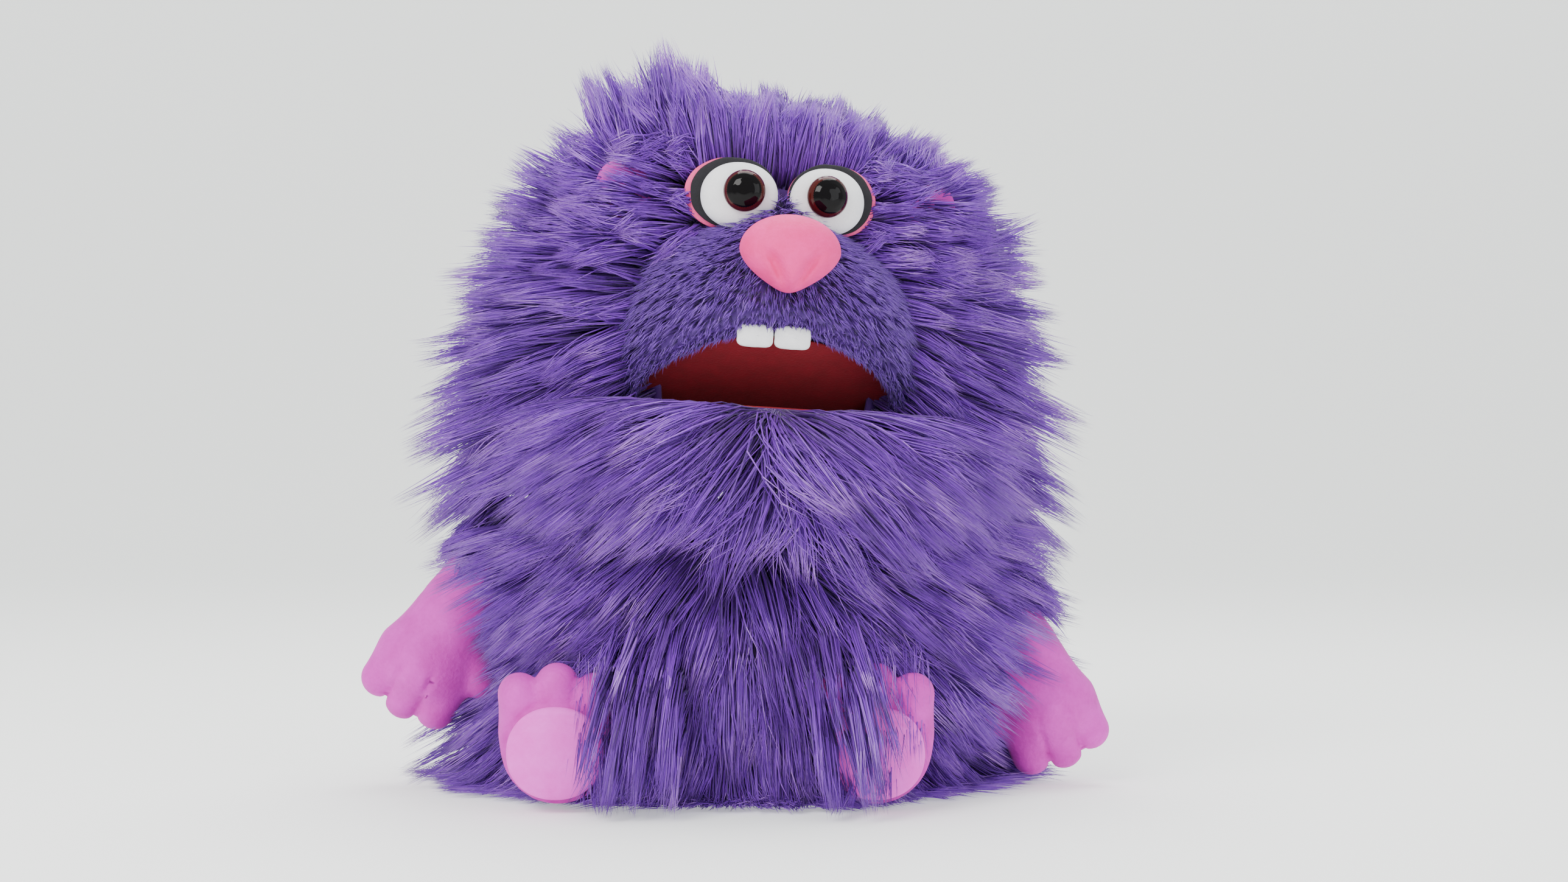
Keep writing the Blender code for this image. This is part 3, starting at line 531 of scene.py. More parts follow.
round_seat = np.linspace(-np.pi, np.pi, 97)[None, :]
across = np.linspace(0.02, 1.0, 12)[:, None]
seat_grid = joined(NECK[0] + 0.0632 * across * np.sin(round_seat),
                   NECK[1] - 0.0602 * across * np.cos(round_seat), 0.0002)
seat = thin_cloth("seat_disc", seat_grid, np.zeros_like(seat_grid) - [0, 0, 1.0], BACKING, backing_cloth,
                  "torso", ["seat_panel"])


def cover(material, nodes):
    """Give a material to CAD nodes that stay in the scene as they are."""
    for node in nodes:
        frame["nodes"][node].data.materials[0] = material


cover(stuffing, [node for node in frame["nodes"] if "filling" in node])

# --- Head: long-haired cap of four panels ---------------------------------------------------------
# The head's fur is the same cloth: a crown and three panels below it. Its hair stands out all round
# the face like a mane, and rises into a tall tuft on the left of the crown.

HEAD_MIDDLE, HEAD_LOW, HEAD_SEAM = 0.075, 0.0145, 0.1345
HEAD_CORE = np.array([0.0810, 0.0730, 0.0830, 0.1250])  # half width, half depth, above and below the middle
TUFT, TUFT_SPREAD = (-0.042, -0.018, 0.145), (0.020, 0.035, 0.030)  # where the tall hair is rooted


def from_head(local):
    """Points of the head's own frame, in the puppet's."""
    return local @ HEAD_AXES + NECK


def to_head(points):
    """Points of the puppet's frame, in the head's own."""
    return (points - NECK) @ HEAD_AXES.T


def head_core(azimuth, height):
    """Points and normals of the stuffed head in its own frame, an oval body round its middle height."""
    offset = height - HEAD_MIDDLE
    reach = np.where(offset > 0, HEAD_CORE[2], HEAD_CORE[3])
    size = np.sqrt(np.clip(1 - (offset / reach) ** 2, 0, 1))
    x, y = HEAD_CORE[0] * size * np.sin(azimuth), -HEAD_CORE[1] * size * np.cos(azimuth)
    normal = joined(x / HEAD_CORE[0] ** 2, y / HEAD_CORE[1] ** 2, offset / reach ** 2)
    return joined(x, y, height), unit(normal)


def head_cloth(point, out):
    """The closed backing of a panel of fur, from a grid of points and normals in the head's frame."""
    return shell(from_head(point), BACKING, out @ HEAD_AXES)


def clear_of_head(points, share):
    """Keep hair out of the stuffed head, down to its neck, and then out of the body."""
    local = to_head(points)
    reach = np.where(local[:, 2] > HEAD_MIDDLE, HEAD_CORE[2], HEAD_CORE[3])
    radius = joined(HEAD_CORE[0], HEAD_CORE[1], reach) + 0.002 + 0.004 * share
    part = (local - np.array([0, 0, HEAD_MIDDLE])) / radius
    depth = np.linalg.norm(part, axis=1)
    outside = part / np.clip(depth, 1e-3, 1)[:, None]
    moved = outside * radius + np.array([0, 0, HEAD_MIDDLE])
    low = local[:, 2] < 0.012
    local = np.where(low[:, None], local, moved)
    points[:] = from_head(local)
    return clear_of_body(points, 1.0 + 0 * share)


def head_comb(local, normal, random):
    """The way the head's hair is combed: outwards round the face, rising near the crown and sinking near
    the neck, down behind, back over the crown, and straight up in the tuft."""
    side = np.clip(local[:, 0] / 0.060, -1, 1)
    rise = np.interp(local[:, 2], (0.014, 0.045, 0.085, 0.115, 0.134), (-0.80, -0.50, -0.02, 0.40, 0.85))
    fan = unit(joined(side, local[:, 1] * 3 + 0.30 * side ** 2, rise))
    left = np.clip((-0.018 - local[:, 0]) / 0.02, 0, 1) * np.clip((0.030 - local[:, 1]) / 0.03, 0, 1)
    top = np.clip((local[:, 2] - 0.126) / 0.014, 0, 1) * (1 - left)
    laid_back = unit(joined(local[:, 0] * 10, 0.35,
                            np.clip(0.80 - 26 * np.clip(local[:, 1], 0, 1), -1.0, 0.8)))
    upright = joined(local[:, 0] * 9 - 0.02, local[:, 1] * 4, 0.9)
    tuft = np.clip((local[:, 2] - 0.118) / 0.018, 0, 1) * left
    fan = fan * (1 - top - tuft)[:, None] + laid_back * top[:, None] + unit(upright) * tuft[:, None]
    back = np.clip(normal[:, 1] * 1.5, 0, 1)[:, None]
    down = unit(joined(normal[:, 0] * 0.6, normal[:, 1] * 0.5, -0.7))
    wave = joined(np.sin(67 * local[:, 2] + 31 * local[:, 1]), np.sin(59 * local[:, 0] + 1),
                  np.sin(43 * local[:, 0] + 57 * local[:, 1])) * 0.13
    scatter = random.normal(size=local.shape) * (0.11 + 0.17 * tuft)[:, None]
    return unit(fan * (1 - back) + down * back + wave + scatter)


def grow_head(name, first, last, low, high, count, lock_count, seed, pole=False):
    """One panel of the head's fur between two azimuths (degrees) and two heights above the neck; a
    panel that ends in the pole has its rows closer together at the top."""
    random = np.random.default_rng(seed)
    azimuth = np.radians(random.uniform(first, last, count))
    share = random.random(count)
    height = low + (high - low) * (1 - (1 - share) ** 1.35 if pole else share)
    local, normal = head_core(azimuth, height)
    comb = head_comb(local, normal, random)
    tuft = np.exp(sum(-((local[:, k] - TUFT[k]) / TUFT_SPREAD[k]) ** 2 for k in range(3)))
    top = np.clip((height - 0.118) / 0.025, 0, 1) * (1 - tuft)
    size = random.uniform(0.042, 0.070, count) * (1 - 0.42 * top)
    size *= 1 + tuft * random.uniform(-0.34, 0.30, count)
    size *= np.interp(height, (0.014, 0.045, 0.085, 0.120), (1.45, 1.24, 0.90, 0.74))
    size *= 1 - 0.12 * np.clip(normal[:, 1], 0, 1)
    face = np.clip((np.cos(azimuth) - 0.45) / 0.35, 0, 1) * (height < 0.125)
    size *= 1 - 0.50 * face
    stand = 0.52 + 0.30 * tuft - 0.27 * top
    comb = unit(comb + normal * (0.15 + 0.35 * tuft - 0.10 * top)[:, None])
    # outside the tuft, hair near the top rises only as far as a ceiling that slopes off to both sides
    ceiling = 0.172 - 0.45 * np.clip(local[:, 0] - 0.03, 0, 1) - 0.20 * np.clip(-local[:, 0] - 0.05, 0, 1)
    steep = np.clip((ceiling + random.normal(size=count) * 0.004 - height) / size, -0.20, 0.90)
    steep = np.where((tuft < 0.25) & (height > 0.10), np.minimum(comb[:, 2], steep), comb[:, 2])
    level = np.sqrt(1 - steep ** 2) / (np.hypot(comb[:, 0], comb[:, 1]) + 1e-6)
    comb = joined(comb[:, 0] * level, comb[:, 1] * level, steep)
    start = unit(normal * stand[:, None] + comb * (1 - stand)[:, None])
    root = from_head(local)
    path = hair_paths(root, start @ HEAD_AXES, comb @ HEAD_AXES, size, HEAD_SAG, clear_of_head)
    hair = pile(path, root, lock_count, random)
    columns = np.radians(np.linspace(first - 1.5, last + 1.5, 61 if pole else 31))
    rise = np.sin(np.linspace(0, np.pi / 2, 14)) if pole else np.linspace(0, 1, 14)
    rows = low - 0.001 + (high - low + 0.001) * rise
    point, out = head_core(columns[None, :], rows[:, None])
    fur_piece("fur_" + name, head_cloth(point, out), hair, long_pile, "head", name)


grow_head("head_fur_left", -125.5, -37, HEAD_LOW, HEAD_SEAM, 7900, 250, 21)
grow_head("head_fur_right", 37, 125.5, HEAD_LOW, HEAD_SEAM, 7900, 250, 22)
grow_head("head_fur_back", 125.5, 234.5, HEAD_LOW, HEAD_SEAM, 6500, 220, 23)
grow_head("head_fur_crown", -180, 180, HEAD_SEAM, 0.1579, 7200, 190, 24, pole=True)

# --- Muzzle and brow: short-pile snout with a bridge up between the eyes --------------------------
# The snout is cut from the same fabric with its pile shorn to about 10 mm, brushed away from the
# bridge. Over the eyes a band of long hair stands up in spikes and sweeps outwards over the ears.

FOLD = to_head(joint_place("mouth_open"))
MUZZLE_REACH = np.array([0.0600, 0.0585, 0.0570])
MUZZLE_LEVEL, MUZZLE_POWER, PALATE_SLOPE = 0.050, 2.4, math.radians(32)
# the snout's pile is also painted darker at the root for shade and lighter at the tip for light
short_pile = pile_palette("short_pile", (0.050, 0.010, 0.140), (0.170, 0.050, 0.430), (0.360, 0.190, 0.640))


def muzzle_surface(angle, climb):
    """Points of the snout in the head's frame: angle runs round the front from the left corner of the
    mouth to the right one, climb from the lip at 0 to the top at 1; below 0 the lip rolls in under it.

    In plan it is an ellipse about the fold; its height follows |r|^p + |z|^p = 1, with a bridge added."""
    reach_x, reach_y = MUZZLE_REACH[0] * np.sin(angle), -MUZZLE_REACH[1] * np.cos(angle)
    tuck = np.clip(-climb / 0.15, 0, 1)
    reach_x, reach_y = reach_x * (1 - 0.03 * tuck), reach_y * (1 - 0.17 * tuck)
    low = FOLD[2] - reach_y * math.tan(PALATE_SLOPE) - 0.0015
    low = low - 0.0050 * np.clip((np.abs(angle) - 1.15) / 0.45, 0, 1)
    top = MUZZLE_LEVEL + MUZZLE_REACH[2]
    height = low + (top - low) * np.sin(np.clip(climb, 0, 1) * np.pi / 2) - 0.0030 * np.sin(np.pi * tuck)
    rise = np.clip((height - MUZZLE_LEVEL) / MUZZLE_REACH[2], 0, 1)
    size = np.clip(1 - rise ** MUZZLE_POWER, 1e-4, 1) ** (1 / MUZZLE_POWER)
    x, y = reach_x * size, FOLD[1] + reach_y * size
    bridge = 0.0150 * np.exp(-(x / 0.0200) ** 2 - ((y + 0.080) / 0.016) ** 2)
    cheek = 0.0035 * np.exp(-((np.abs(x) - 0.034) / 0.014) ** 2) * np.sin(np.clip(climb, 0, 1) * np.pi)
    return joined(x, y - cheek, height + bridge)


def surface_normals(surface, u, v, step=1e-3):
    """Outward normals of a surface of two parameters, by differences."""
    along = surface(u + step, v) - surface(u - step, v)
    up = surface(u, v + step) - surface(u, v - step)
    return unit(np.cross(along, up))


def as_it_lies(points, share):
    """The pile of muzzle and brow needs no clearing."""
    return points


random = np.random.default_rng(31)
count = 12500
angle, climb = random.uniform(-1.62, 1.62, count), random.uniform(0, 0.985, count) ** 0.8
climb[:2000] = random.uniform(-0.15, 0.0, 2000)
local = muzzle_surface(angle, climb)
out = surface_normals(muzzle_surface, angle, climb * 0.99, 2e-3)
brush = unit(local * [1, 0.35, 1] - [0, -0.03, 0.118] + random.normal(size=local.shape) * 0.004)
brush = unit(brush - out * (brush * out).sum(1, keepdims=True))
length = random.uniform(0.0075, 0.0115, count) * (1 + 0.5 * np.clip((np.abs(angle) - 1.1) / 0.5, 0, 1))
length *= 1 - 0.45 * np.exp(-(climb / 0.05) ** 2) - 0.5 * (climb < -0.02)
path = hair_paths(from_head(local), unit(out * 0.75 + brush * 0.5) @ HEAD_AXES,
                  unit(out * 0.30 + brush * 0.9) @ HEAD_AXES, length, 0.15, as_it_lies, steps=2)
hair = pile(path, from_head(local), 1500, random, (0.00028, 0.00042), (0.6, 0.35), shade=0.35, hold=0.45)
columns = np.linspace(-1.66, 1.66, 61)[None, :]
rows = np.concatenate([np.linspace(-0.15, 0, 7)[:-1], np.linspace(0, 1, 24)])[:, None]
skin_out = surface_normals(muzzle_surface, columns, np.clip(rows, -0.14, 0.98), 3e-3)
fur_piece("short_pile_muzzle", head_cloth(muzzle_surface(columns, rows), skin_out), hair, short_pile, "head",
          "muzzle")

BROW_RADII = (0.0755, 0.0668)


def brow_surface(azimuth, height):
    """The band behind and over the eyes: an oval wall in the head's frame that leans back at its top."""
    lean = 1 - 6.0 * np.clip(height - 0.118, 0, 1)
    x, y = BROW_RADII[0] * np.sin(azimuth) * lean, -BROW_RADII[1] * np.cos(azimuth) * lean
    return joined(x, y, height)


random = np.random.default_rng(32)
spikes, sweeps = 3700, 3000
count, lock_count = spikes + sweeps, 120
azimuth = np.concatenate([random.uniform(-64, 64, spikes),
                          random.uniform(22, 62, sweeps) * random.choice([-1, 1], sweeps)]) * math.pi / 180
height = np.concatenate([random.uniform(0.124, 0.1370, spikes), random.uniform(0.094, 0.132, sweeps)])
over_ear = np.arange(count) >= spikes
sweeping = over_ear[:, None]
local = brow_surface(azimuth, height)
out = surface_normals(brow_surface, azimuth, height, 1e-4)
up = joined(local[:, 0] * 9 + 0.05, -0.10, 1.0)
outwards = joined(np.sign(local[:, 0]), -0.28, (height - 0.112) * 14)
fan = unit(np.where(sweeping, outwards, up))
first = unit(np.where(sweeping, [0, -1.1, 0] + outwards * 0.35, out * 0.35 + up))
length = random.uniform(0.020, 0.042, count)
length *= np.interp(local[:, 0], (-0.050, -0.030, 0.0, 0.030), (1.25, 1.25, 0.92, 0.72))
length = np.where(over_ear, 0.016 + 0.030 * np.clip((np.abs(azimuth) - 0.38) / 0.5, 0, 1), length)
path = hair_paths(from_head(local), first @ HEAD_AXES,
                  unit(fan + random.normal(size=fan.shape) * 0.16 + [0, 0.10, 0]) @ HEAD_AXES, length, 0.05,
                  as_it_lies)
hair = pile(path, from_head(local), lock_count, random, (0.00040, 0.00062), (0.7, 0.3), hold=0.94, loose=0.12)
columns, rows = np.radians(np.linspace(-66, 66, 41))[None, :], np.linspace(0.090, 0.1370, 10)[:, None]
skin_out = surface_normals(brow_surface, columns, rows, 1e-4)
fur_piece("fur_brow", head_cloth(brow_surface(columns, rows), skin_out), hair, long_pile, "head",
          "brow")

# --- Eyes: felt pads with safety-eye pupils -------------------------------------------------------
# Each eye is a stuffed white felt half dome on a thick black felt rim and a pink plush lid, both set
# outwards so that they show as crescents, and a glossy moulded pupil whose shank holds the stack.

EYE_X, EYE_Y, EYE_Z, EYE_TOE = 0.0165, -0.0675, 0.1190, math.radians(9)
white_felt = textured("white_felt", (0.86, 0.86, 0.87), (0.72, 0.72, 0.74), 900.0, 0.9, 0.35,
                      Sheen_Weight=0.4)
black_felt = textured("black_felt", (0.003, 0.0026, 0.004), (0.010, 0.009, 0.013), 900.0, 0.9, 0.5,
                      Sheen_Weight=0.04)
lid_plush = textured("lid_plush", (0.72, 0.035, 0.180), (0.86, 0.090, 0.280), 800.0, 0.8, 0.4,
                     Sheen_Weight=0.06)
pupil_black = plain("pupil_black", (0.002, 0.0015, 0.002), 0.05, Specular_IOR_Level=0.14)
pupil_iris = plain("pupil_iris", (0.050, 0.005, 0.004), 0.08, Specular_IOR_Level=0.22)


def dome_pad(centre, half_width, half_height, back, front, crown, power=2.1, wave=0.0, around=64, rings=14):
    """A closed stuffed pad facing -Y: an upright side, then a crown that follows a quarter circle.

    Its outline is |x|^p + |z|^p = 1, with wave as a share of its width added round the edge."""
    angle = np.arange(around) * 2 * np.pi / around
    edge = (np.abs(np.cos(angle)) ** power + np.abs(np.sin(angle)) ** power) ** (-1 / power)
    edge = edge * (1 + wave * np.sin(7 * angle + 1) + wave * 0.7 * np.sin(11 * angle))
    bulge = np.linspace(0, np.pi / 2, rings)
    size = np.concatenate([[0.02, 0.90, 0.985], np.cos(bulge[:-1]) * 0.985 + 0.015, [0.02]])
    depth = np.concatenate([[back, back, back - 0.0004], front + crown - crown * np.sin(bulge[:-1]), [front]])
    x = centre[0] + half_width * size[:, None] * edge * np.cos(angle)
    z = centre[1] + half_height * size[:, None] * edge * np.sin(angle)
    return closed_rings(joined(x, depth[:, None], z))


def closed_rings(rings):
    """Points and triangles of a closed form through rings of points, the first and last as flat ends."""
    count, around = rings.shape[:2]
    quads = grid_faces(count, around, wrap=True)
    fan = np.arange(1, around - 1)
    low = np.stack([0 * fan, fan + 1, fan], 1)
    return rings.reshape(-1, 3), np.concatenate([split(quads), low, low[:, ::-1] + (count - 1) * around])


def pointing_out(points, triangles):
    """Turn all triangles round if the form they close has a negative volume."""
    a, b, c = (points[triangles[:, k]] for k in range(3))
    return triangles if (np.cross(a, b) * c).sum() > 0 else triangles[:, ::-1]


def soft_piece(name, form, material, body, nodes, place=from_head):
    """A stuffed piece from a closed form in a frame that place leads from."""
    points, triangles = form
    made = new_mesh(name, place(points), pointing_out(place(points), triangles))
    made.data.materials.append(material)
    if body:
        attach(made, body)
    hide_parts(*nodes)
    return made


PUPIL_PROFILE = np.array([  # radius and depth of the moulded dome, from its back to its middle
    (0.0004, -0.0172), (0.0080, -0.0172), (0.0088, -0.0184), (0.0087, -0.0198), (0.0080, -0.0212),
    (0.0068, -0.0225), (0.0050, -0.0237), (0.0026, -0.0244), (0.0004, -0.0246)])
PUPIL_X, PUPIL_Z, IRIS_INNER = 0.0020, 0.0010, 0.0072
for side, sign in SIDES:
    spin = np.array(Matrix.Rotation(sign * EYE_TOE, 3, "Z"))

    def from_eye(points):
        """Points of the eye's own frame, in the puppet's."""
        return from_head(points @ spin.T + [sign * EYE_X, EYE_Y, EYE_Z])

    lid = dome_pad((sign * 0.0044, 0.0006), 0.0194, 0.0154, -0.0020, -0.0082, 0.0030, wave=0.004)
    soft_piece(side + "_lid", lid, lid_plush, "head", [side + "_eye_lid"], from_eye)
    rim = dome_pad((sign * 0.0028, 0.0008), 0.0183, 0.0150, -0.0056, -0.0108, 0.0022, wave=0.006)
    soft_piece(side + "_rim", rim, black_felt, "head", [side + "_eye_rim"], from_eye)
    white = dome_pad((sign * 0.0004, -0.0004), 0.0162, 0.0140, -0.0091, -0.0185, 0.0075)
    soft_piece(side + "_white", white, white_felt, "head", [side + "_eye_white"], from_eye)
    along = np.linspace(0, len(PUPIL_PROFILE) - 1, 33)
    radius, depth = (np.interp(along, np.arange(len(PUPIL_PROFILE)), PUPIL_PROFILE[:, k])[:, None]
                     for k in (0, 1))
    around = np.arange(48) * 2 * np.pi / 48
    dome = closed_rings(joined(-sign * PUPIL_X + radius * np.cos(around), depth,
                               PUPIL_Z + radius * np.sin(around)))
    pupil = soft_piece(side + "_pupil_dome", dome, pupil_black, "head",
                       [side + "_pupil"], from_eye)
    pupil.data.materials.append(pupil_iris)
    middle = dome[0][dome[1]].mean(1)
    from_axis = np.hypot(middle[:, 0] + sign * PUPIL_X, middle[:, 2] - PUPIL_Z)
    pupil.data.polygons.foreach_set("material_index", (from_axis > IRIS_INNER).astype(np.int32))

# --- Nose and ears: small plush pieces ------------------------------------------------------------
# The nose is a stuffed ball of pink velour gathered to a point below, with a tuck on each side of
# the point. The ears are flat stuffed ovals with a hollowed front, nearly lost in the hair.

nose_velour = textured("nose_velour", (0.72, 0.003, 0.160), (0.88, 0.022, 0.280), 700.0, 0.7, 0.55,
                       Sheen_Weight=0.06, Sheen_Roughness=0.35, Sheen_Tint=(1.0, 0.75, 0.85, 1.0))
plush_pink = textured("pink_velour", (0.46, 0.010, 0.330), (0.64, 0.034, 0.500), 600.0, 0.75, 0.5,
                      Sheen_Weight=0.08, Sheen_Roughness=0.35, Sheen_Tint=(1.0, 0.80, 1.0, 1.0))
NOSE = np.array([0.0, -0.1095, 0.0945])


def nose_form(count=96, rings=64):
    """A ball drawn out in width, narrowed towards a low point, with two tucks running up from it."""
    around = np.arange(count)[None, :] * 2 * np.pi / count
    down = np.linspace(0.02, np.pi - 0.02, rings)[:, None]
    x, y, z = np.sin(down) * np.sin(around), -np.sin(down) * np.cos(around), np.cos(down) + 0 * around
    low = np.clip(-z, 0, 1)
    half_width = 0.0208 * (1 - 0.30 * low ** 1.5)
    point = np.stack([x * half_width, y * 0.0165 * (1 - 0.15 * low), z * np.where(z > 0, 0.0148, 0.0160)], -1)
    front = np.clip(-y, 0, 1)
    for tuck in (-1, 1):
        line = tuck * (0.0015 + 0.62 * (point[..., 2] + 0.0155))
        shut = np.exp(-((point[..., 0] - line) / 0.0022) ** 2)
        shut = shut * np.clip(-(point[..., 2] - 0.0005) / 0.006, 0, 1)
        point[..., 1] += 0.0046 * shut * front
    pinch = np.exp(-((point[..., 0]) / 0.006) ** 2 - ((point[..., 2] + 0.0145) / 0.005) ** 2)
    point[..., 1] -= 0.0022 * pinch * front
    point[..., 2] -= 0.0012 * pinch
    return closed_rings(point + NOSE)


soft_piece("plush_nose", nose_form(), nose_velour, "head", ["nose"])
for side, sign in SIDES:
    lean = np.array(Matrix.Rotation(sign * math.radians(15), 3, "Y"))
    ear = dome_pad((0.0, 0.0), 0.0118, 0.0136, 0.0040, -0.0042, 0.0030, rings=12)
    points = ear[0]
    hollow = np.exp(-((points[:, 0] / 0.006) ** 2 + ((points[:, 2] + 0.001) / 0.008) ** 2))
    points[:, 1] += np.where(points[:, 1] < -0.001, 0.0030 * hollow, 0)
    shift = np.array([sign * 0.0655, -0.0575, 0.1190])
    soft_piece("plush_" + side + "_ear", (points @ lean.T + shift, ear[1]), plush_pink, "head",
               [side + "_ear"])

# --- Mouth: red felt on two boards, and two felt teeth --------------------------------------------
# One oval of red felt is glued over the palate and the jaw boards and folds between them at the back
# of the mouth. Two short teeth of white felt hang from the palate's front edge.

red_felt = textured("red_felt", (0.150, 0.000, 0.006), (0.230, 0.0005, 0.010), 900.0, 0.85, 0.5,
                    Sheen_Weight=0.10, Sheen_Tint=(1.0, 0.35, 0.40, 1.0))
stiff_board = textured("stiff_board", (0.090, 0.004, 0.008), (0.130, 0.008, 0.014), 400.0, 0.6, 0.1)
PALATE_FELT, JAW_FELT = (0.0582, 0.0568), (0.0520, 0.0500)  # half width and reach


def mouth_felt(side_ways, along):
    """The felt oval in the head's frame: along runs from the palate's front edge at -1, through the
    fold at 0, to the jaw's front edge at 1; side_ways runs across it from -1 to 1."""
    above = 1 / (1 + np.exp(along * 24))
    wide, reach = (JAW_FELT[k] + (PALATE_FELT[k] - JAW_FELT[k]) * above for k in (0, 1))
    distance = np.abs(along) * reach
    half_width = wide * np.sqrt(np.clip(1 - along ** 2, 0.0004, 1))
    bent = np.sqrt(distance ** 2 + 0.0028 ** 2) - 0.0028
    slope = np.where(along < 0, PALATE_SLOPE, 0.0)
    drop = np.where(along < 0, -0.0009, -0.0010)
    ripple = 0.0003 * np.sin(90 * side_ways * half_width + 3) * np.exp(-distance / 0.012)
    y = -bent * np.cos(slope)
    z = bent * np.sin(slope) + drop + ripple
    return joined(side_ways * half_width, FOLD[1] + y, FOLD[2] + z)


columns, rows = np.linspace(-1, 1, 49)[None, :], np.linspace(-0.999, 0.999, 60)[:, None]
felt_grid = mouth_felt(columns, rows)
felt_out = unit(np.cross(np.gradient(felt_grid, axis=1), np.gradient(felt_grid, axis=0)))
felt_out = felt_out * np.where(felt_out[..., 1:2].mean() < 0, 1, -1)
felt = thin_cloth("mouth_felt", from_head(felt_grid), felt_out @ HEAD_AXES, 0.0010, red_felt, None,
                  ["palate_lining", "jaw_lining", "mouth_fold"])
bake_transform(felt)
cover(stiff_board, ["palate_board", "jaw_board"])
cover(lining_cloth, ["finger_pocket", "thumb_pocket"])
washer_white = textured("washer_white", (0.70, 0.70, 0.68), (0.64, 0.64, 0.62), 300.0, 0.45, 0.05)
cover(washer_white, ["left_eye_washer", "right_eye_washer"])

for side, sign in SIDES:
    tooth = dome_pad((sign * 0.0078 - 0.0030, 0.0278), 0.0075, 0.0048, -0.0508, -0.0545, 0.0014, power=4.5,
                     wave=0.006, rings=8)
    soft_piece(side + "_felt_tooth", tooth, white_felt, "head", [side + "_tooth"],
               lambda points: from_head(points + FOLD))

# --- Chin: a beard of long hair on the jaw --------------------------------------------------------
# The lower lip is a pad of long fur over the jaw board. Its hair parts in the middle and falls to
# both sides over the chest.

CHIN_WIDTH, CHIN_REACH = 0.0560, 0.0545


def chin_surface(angle, drop):
    """The lower lip in the head's frame: angle runs round from the left corner at 0 to the right one at
    pi, drop from the lip at 0, over the front, to the middle of the underside at 1."""
    drops = (0.0, 0.12, 0.40, 0.62, 0.80, 1.0)
    size = np.interp(drop, drops, (0.955, 1.0, 1.0, 0.93, 0.74, 0.05))
    height = np.interp(drop, drops, (-0.0016, -0.0042, -0.0140, -0.0225, -0.0272, -0.0285))
    x, y = -CHIN_WIDTH * np.cos(angle) * size, -0.004 - (CHIN_REACH - 0.004) * np.sin(angle) * size
    return joined(x, y + FOLD[1], height + FOLD[2])


def chin_normals(points, angle, drop):
    """Normals of the lower lip, turned away from the fold."""
    out = surface_normals(chin_surface, angle, drop)
    return out * np.where((out * (points - FOLD)).sum(-1, keepdims=True) < 0, -1, 1)


def over_the_chest(points, share):
    """Keep the beard outside the hair of the chest, which it lies on."""
    return clear_of_body(points, 1.0 + 2.6 * share)


random = np.random.default_rng(41)
count, lock_count = 7000, 240
angle, drop = random.uniform(-0.05, np.pi + 0.05, count), random.uniform(0.03, 0.72, count) ** 1.15
local = chin_surface(angle, drop)
out = chin_normals(local, angle, drop)
across = np.clip(local[:, 0] / 0.016 + random.normal(size=count) * 0.25, -1, 1)
comb = unit(joined(across * (1.10 - 0.35 * drop), -0.10, -0.24 - 0.60 * drop)
            + random.normal(size=local.shape) * 0.06)
length = random.uniform(0.050, 0.074, count) * (1 - 0.45 * np.exp(-(drop / 0.06) ** 2))
path = hair_paths(from_head(local), unit(out * 0.55 + comb * 0.7) @ HEAD_AXES, comb @ HEAD_AXES, length, 0.30,
                  over_the_chest)
hair = pile(path, from_head(local), lock_count, random, (0.00036, 0.00060), hold=0.84)
columns, rows = np.linspace(-0.08, np.pi + 0.08, 49)[None, :], np.linspace(0, 1, 22)[:, None]
chin_grid = chin_surface(columns, rows)
chin_out = chin_normals(chin_grid, columns, rows)
fur_piece("fur_chin", head_cloth(chin_grid, chin_out), hair, long_pile, "jaw", "chin_fur")

# --- Arms and hands: stuffed velour arms under a sleeve of long hair ------------------------------
# Each arm is one stuffed velour skin from the shoulder to a mitten hand with three fingers and a
# thumb, its fingers marked off by sewn grooves. Hair covers its top.


def rounded(start, end, first_radius, last_radius, points):
    """Distance to a tapering round bar between two points."""
    line = np.array(end) - np.array(start)
    share = np.clip(((points - start) @ line) / (line @ line), 0, 1)
    return np.linalg.norm(points - start - share[:, None] * line, axis=1) - (
        first_radius + (last_radius - first_radius) * share)


def soft_union(distances, soft):
    """Smooth minimum of several distances: -soft log(sum exp(-d / soft))."""
    stacked = np.stack(distances)
    low = stacked.min(0)
    return low - soft * np.log(np.exp(-(stacked - low) / soft).sum(0))


